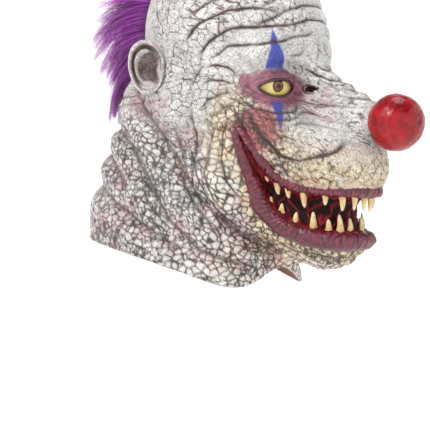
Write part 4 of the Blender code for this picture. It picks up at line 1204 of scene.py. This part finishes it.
def build_ears(mat):
    for name, side in (("ear_left", 1), ("ear_right", -1)):
        rings, size = ((64, 130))
        b = np.linspace(0, 2 * math.pi, size + 1)[:-1]
        share = np.concatenate([np.linspace(0.02, 1.0, rings), np.linspace(1.0, 0.03, rings // 2)[1:]])
        back = np.concatenate([np.zeros(rings), np.ones(rings // 2 - 1)])
        cw, ch = np.cos(b), np.sin(b)
        narrow = 1.0 - 0.20 * (1 - ch) / 2
        wn = share[:, None] * cw[None] * narrow[None]
        hn = share[:, None] * ch[None]
        front = ear_height(wn, hn, share[:, None] * np.ones(size)[None])
        rim = ear_height(cw[None] * narrow[None], ch[None], np.ones((1, size)))
        under = rim - 3.0 - 15.0 * (1 - share[:, None]**2) * np.exp(-((hn / 0.9)**2))
        height = np.where(back[:, None] > 0, under, front)
        roll = np.where(back[:, None] > 0, 0, 1.2 * np.exp(-((share[:, None] - 0.97) / 0.03)**2))
        w, h = EAR_HALF[1] * wn, EAR_HALF[2] * hn
        turn = math.radians(EAR_TURN)
        x = EAR_CENTRE[0] + height * math.cos(turn) - w * math.sin(turn)
        f = EAR_CENTRE[1] + w * math.cos(turn) + height * math.sin(turn)
        z = EAR_CENTRE[2] + h - 0.10 * w
        p = np.stack([side * x, f, z], -1)
        bumps = 0.35 * noise(p, 7, 131) + 0.5 * noise(p, 17, 132)
        nrm = grid_normals(p)
        p = p + nrm * bumps[..., None] * (1 if side > 0 else -1)
        low = step(4.5, -1.5, height) * (1 - back[:, None]) * step(0.93, 0.85, share[:, None])
        small, tone = plates(p, 5.6, 133)
        lines = step(0.17, 0.02, small) * 0.35
        ridge = np.maximum(low * 0.80, lines)
        edge_line = np.exp(-((share[:, None] - 0.80) / 0.03)**2) * step(-2.0, -1.0, np.arctan2(hn, -wn)) * (1 - back[:, None]) * 0.85
        values = {"groove": np.clip(np.maximum(ridge, edge_line), 0, 1), "plate": 0.5 * tone, "dark": low * 0.45,
                  "pink": np.clip(0.30 + 0.4 * noise(p, 14, 134), 0, 1) * 0.7}
        values["flat"] = np.full(p.shape[:2], 0.8)
        for key in ("blue", "rouge", "lid", "cream"):
            values[key] = np.zeros(p.shape[:2])
        obj = mesh_object(name, p, grid_faces(len(share), size), mat, values)
        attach(obj, "root")
        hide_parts("mask_shell")


# ---------------------------------------------------------------- hair

def hair_row(t):
    """Root, the first way and the later way of the hair at place t along the strip."""
    root_angle, length, leave, half = (curve_through(HAIR, i, t) for i in (1, 2, 3, 4))
    ra, la = np.radians(root_angle), np.radians(leave)
    first = np.stack([np.zeros_like(ra), np.cos(ra), np.sin(ra)], -1)
    then = np.stack([np.zeros_like(la), np.cos(la), np.sin(la)], -1)
    return ra, first, then, length, half


def scalp(ra, x):
    """Points on the head above the middle plane's angle ra, at x to the side."""
    r = np.full(ra.shape, 200.0)
    for _ in range(60):
        r -= 0.7 * head_form(x, SKULL_F + r * np.cos(ra), SKULL_Z + r * np.sin(ra))
    p = np.stack([x, SKULL_F + r * np.cos(ra), SKULL_Z + r * np.sin(ra)], -1)
    return p


def build_hair_mass(mat):
    """An inner mass of hair with a dark tone, as painted shade inside the strip, which keeps daylight from showing
    through the strip.
    """
    t = np.linspace(0.02, 0.98, 60)
    ra, first, then, length, half = hair_row(t)
    root = scalp(ra, np.zeros_like(ra)) - first * 2.0
    rings = []
    shares = [(0.0, 0.40), (0.15, 0.46), (0.30, 0.40), (0.42, 0.26), (0.50, 0.08)]
    m = []
    for s, wide in shares:
        p = root + first * (length * (s * (1 - s) + 0.25 * s))[:, None] + then * (length * s * s)[:, None]
        m.append((p, half * wide))
    ring = [p + np.stack([w, 0 * w, 0 * w], -1) for p, w in m] + [p - np.stack([w, 0 * w, 0 * w], -1) for p, w in reversed(m)]
    pts = np.stack(ring, 1)
    pts = pts + (1.6 * noise(pts, 7, 141))[..., None] * np.array([0, 0.6, 0.8])
    n = pts.shape[1]
    faces = grid_faces(pts.shape[0], n).tolist()
    faces.append(list(range(n)))
    faces.append(list(range((pts.shape[0] - 1) * n, pts.shape[0] * n))[::-1])
    # a low tone: the mass is painted dark as shade inside the strip
    values = {"tone": np.clip(0.15 + 0.2 * noise(pts, 4, 142), 0, 1), "along": np.full(pts.shape[:2], 0.2)}
    obj = mesh_object("hair_mass", pts, [tuple(f) for f in faces], mat, values)
    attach(obj, "root")
    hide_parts("hair_strip")


def build_hair(mat, name, seed, locks, per_lock):
    rng = np.random.default_rng(seed)
    segments = 9
    lock_t = (np.arange(locks) + rng.uniform(0, 1, locks)) / locks
    lock_x = rng.uniform(-1, 1, locks)
    lock_len = rng.uniform(0.80, 1.04, locks)
    lock_sway = rng.normal(0, 1, (locks, 2))
    which = np.repeat(np.arange(locks), per_lock)
    n = len(which)
    t = np.clip(lock_t[which] + rng.normal(0, 0.018, n), 0, 1)
    ra, first, then, length, half = hair_row(t)
    across = np.clip(lock_x[which] * 0.8 + rng.normal(0, 0.22, n), -1, 1)
    x0 = across * half * 0.72
    root = scalp(ra, x0)
    lean = np.stack([across * 0.30 + 0.10 * rng.normal(0, 1, n), 0 * t, 0 * t], -1)
    loose = rng.uniform(0, 1, n) < 0.06
    own = rng.uniform(0.80, 1.0, n) * lock_len[which]
    own = np.where(loose, own * rng.uniform(0.9, 1.08, n), own)
    span = length * own
    s = np.linspace(0, 1, segments + 1)
    line = (root[:, None] - first[:, None] * 1.5
            + (first[:, None] + lean[:, None]) * (span[:, None] * (s * (1 - s) + 0.25 * s)[None])[..., None]
            + then[:, None] * (span[:, None] * (s * s)[None])[..., None])
    # locks draw together at their tips
    centre = np.zeros((locks, segments + 1, 3))
    np.add.at(centre, which, line)
    centre /= per_lock
    pull = (0.78 * s**1.3)[None, :, None] * np.where(loose, 0.25, 1.0)[:, None, None]
    line = line * (1 - pull) + centre[which] * pull
    sway = lock_sway[which]
    line[..., 0] += (sway[:, :1] * 3.2 * s[None]**1.5) + rng.normal(0, 1.0, n)[:, None] * s[None]**2 * 1.4
    along_way = np.stack([0 * t, -np.sin(ra), np.cos(ra)], -1)
    line += along_way[:, None] * (sway[:, 1:2] * 4.0 * s[None]**1.5 + rng.normal(0, 1, n)[:, None] * 1.6 * s[None]**2)[..., None]
    line[..., 2] -= (4.0 * s[None]**2 * rng.uniform(0, 1, n)[:, None])
    # thin three-sided fibres
    thick = rng.uniform(0.26, 0.46, n)[:, None] * (1 - 0.85 * s[None]**1.6)
    tangent = np.gradient(line, axis=1)
    tangent /= np.linalg.norm(tangent, axis=-1, keepdims=True)
    side = np.cross(tangent, np.array([1.0, 0.15, 0.1]))
    side /= np.linalg.norm(side, axis=-1, keepdims=True)
    other = np.cross(tangent, side)
    rings = []
    for k in range(3):
        a = 2 * math.pi * k / 3
        rings.append(line + (side * math.cos(a) + other * math.sin(a)) * thick[..., None])
    pts = np.stack(rings, 2).reshape(-1, 3)
    cell = np.arange(n * (segments + 1) * 3).reshape(n, segments + 1, 3)
    quads = np.stack([cell[:, :-1], cell[:, 1:], np.roll(cell[:, 1:], -1, 2), np.roll(cell[:, :-1], -1, 2)], -1).reshape(-1, 4)
    tone = np.clip(0.5 + 0.28 * rng.normal(0, 1, n) + 0.2 * sway[:, 0], 0, 1)
    tone = np.repeat(tone, (segments + 1) * 3)
    along = np.tile(np.repeat(s, 3), n)
    obj = mesh_object(name, pts, quads, mat, {"tone": tone, "along": along},
                      out=pts - np.repeat(line.reshape(-1, 3), 3, axis=0))
    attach(obj, "root")
    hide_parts("hair_strip")


# ---------------------------------------------------------------- stage

PX = 0.00135                     # metres in one pixel of the frame, at the mask
VIEW_AZIMUTH, VIEW_HEIGHT = -60.0, 1.5
CAMERA_DISTANCE = 3.4
FLOOR_Z = -0.70


def build_stage():
    m = Nodes("studio_floor")
    floor_mat = m.finish(Base_Color=m.mix(m.noise(3.0), (0.86, 0.86, 0.86), (0.90, 0.90, 0.90)), Roughness=0.9,
                        Emission_Color=(1.0, 1.0, 1.0), Emission_Strength=0.50)
    a = math.radians(VIEW_AZIMUTH)
    back = np.array([math.sin(a), -math.cos(a)])
    right = np.array([math.cos(a), math.sin(a)])
    profile = [(0.05, 0.0), (3.0, 0.0), (5.0, 0.0)] + [(5.0 + 1.8 * math.sin(k * math.pi / 24), 1.8 - 1.8 * math.cos(k * math.pi / 24)) for k in range(1, 13)] + [(6.8, 6.0)]
    spokes = 96
    rows = [(far * math.cos(2 * math.pi * j / spokes), far * math.sin(2 * math.pi * j / spokes), FLOOR_Z + up)
            for far, up in profile for j in range(spokes)]
    faces = [tuple(q) for q in grid_faces(len(profile), spokes).tolist()] + [tuple(range(spokes))]
    mesh = bpy.data.meshes.new("studio_sweep")
    mesh.from_pydata(rows, [], faces)
    mesh.shade_smooth()
    mesh.materials.append(floor_mat)
    sweep = bpy.data.objects.new("studio_sweep", mesh)
    bpy.context.scene.collection.objects.link(sweep)

    e = math.radians(VIEW_HEIGHT)
    behind = Vector((math.sin(a) * math.cos(e), -math.cos(a) * math.cos(e), math.sin(e)))
    rightv = Vector((math.cos(a), math.sin(a), 0))
    up = behind.cross(rightv)
    aim = rightv * (-10 * PX) + up * (-265 * PX)
    camera = bpy.data.cameras.new("camera")
    camera.sensor_width = 36
    camera.lens = 36 * CAMERA_DISTANCE / (430 * PX)
    camera.clip_end = 60
    cam = bpy.data.objects.new("camera", camera)
    bpy.context.scene.collection.objects.link(cam)
    cam.location = aim + behind * CAMERA_DISTANCE
    cam.rotation_mode = "QUATERNION"
    cam.rotation_quaternion = behind.to_track_quat("Z", "Y")
    bpy.context.scene.camera = cam

    bpy.context.scene.view_settings.view_transform = "Standard"
    world = bpy.data.worlds.new("studio_light")
    bpy.context.scene.world = world
    world.use_nodes = True
    world.node_tree.nodes["Background"].inputs["Color"].default_value = (1, 1, 1, 1)
    world.node_tree.nodes["Background"].inputs["Strength"].default_value = 0.10
    middle = aim + Vector((0, 0, 0.1))
    for name, sideways, lift, toward, size, power in (("key", -1.1, 1.9, 1.4, 0.7, 44), ("fill", 1.7, 0.4, 1.7, 1.2, 4), ("top", 0.3, 2.2, -0.3, 1.0, 18), ("rim", -1.4, 0.9, -1.5, 0.9, 6)):
        light = bpy.data.lights.new(name, "AREA")
        light.shape = "SQUARE"
        light.size = size
        light.energy = power
        obj = bpy.data.objects.new(name, light)
        bpy.context.scene.collection.objects.link(obj)
        obj.location = middle + rightv * sideways + behind * toward + Vector((0, 0, lift))
        obj.rotation_mode = "QUATERNION"
        obj.rotation_quaternion = (obj.location - middle).to_track_quat("Z", "Y")


def main():
    skin_mat, inside_mat, wet = latex_skin(), lining_latex(), mouth_wet()
    base, normal, skin, smooth, height = build_skin(skin_mat, wet)
    rings = build_inside(base, normal, skin, smooth, height, inside_mat)
    build_rim(rings, skin_mat)
    build_lips(lip_latex())
    build_gums(wet)
    build_teeth(tooth_ivory())
    edge_mat = lid_edge()
    build_eyes(eye_glaze(), edge_mat)
    build_sight_rims(edge_mat)
    build_nose(nose_lacquer())
    build_ears(skin_mat)
    fibre = hair_fibre("hair_fibre", (0.11, 0.006, 0.15), (0.50, 0.045, 0.54))
    build_hair_mass(fibre)
    locks = 88
    build_hair(fibre, "hair_locks_a", 7, locks, 40)
    build_hair(fibre, "hair_locks_b", 23, locks, 40)
    build_stage()


main()
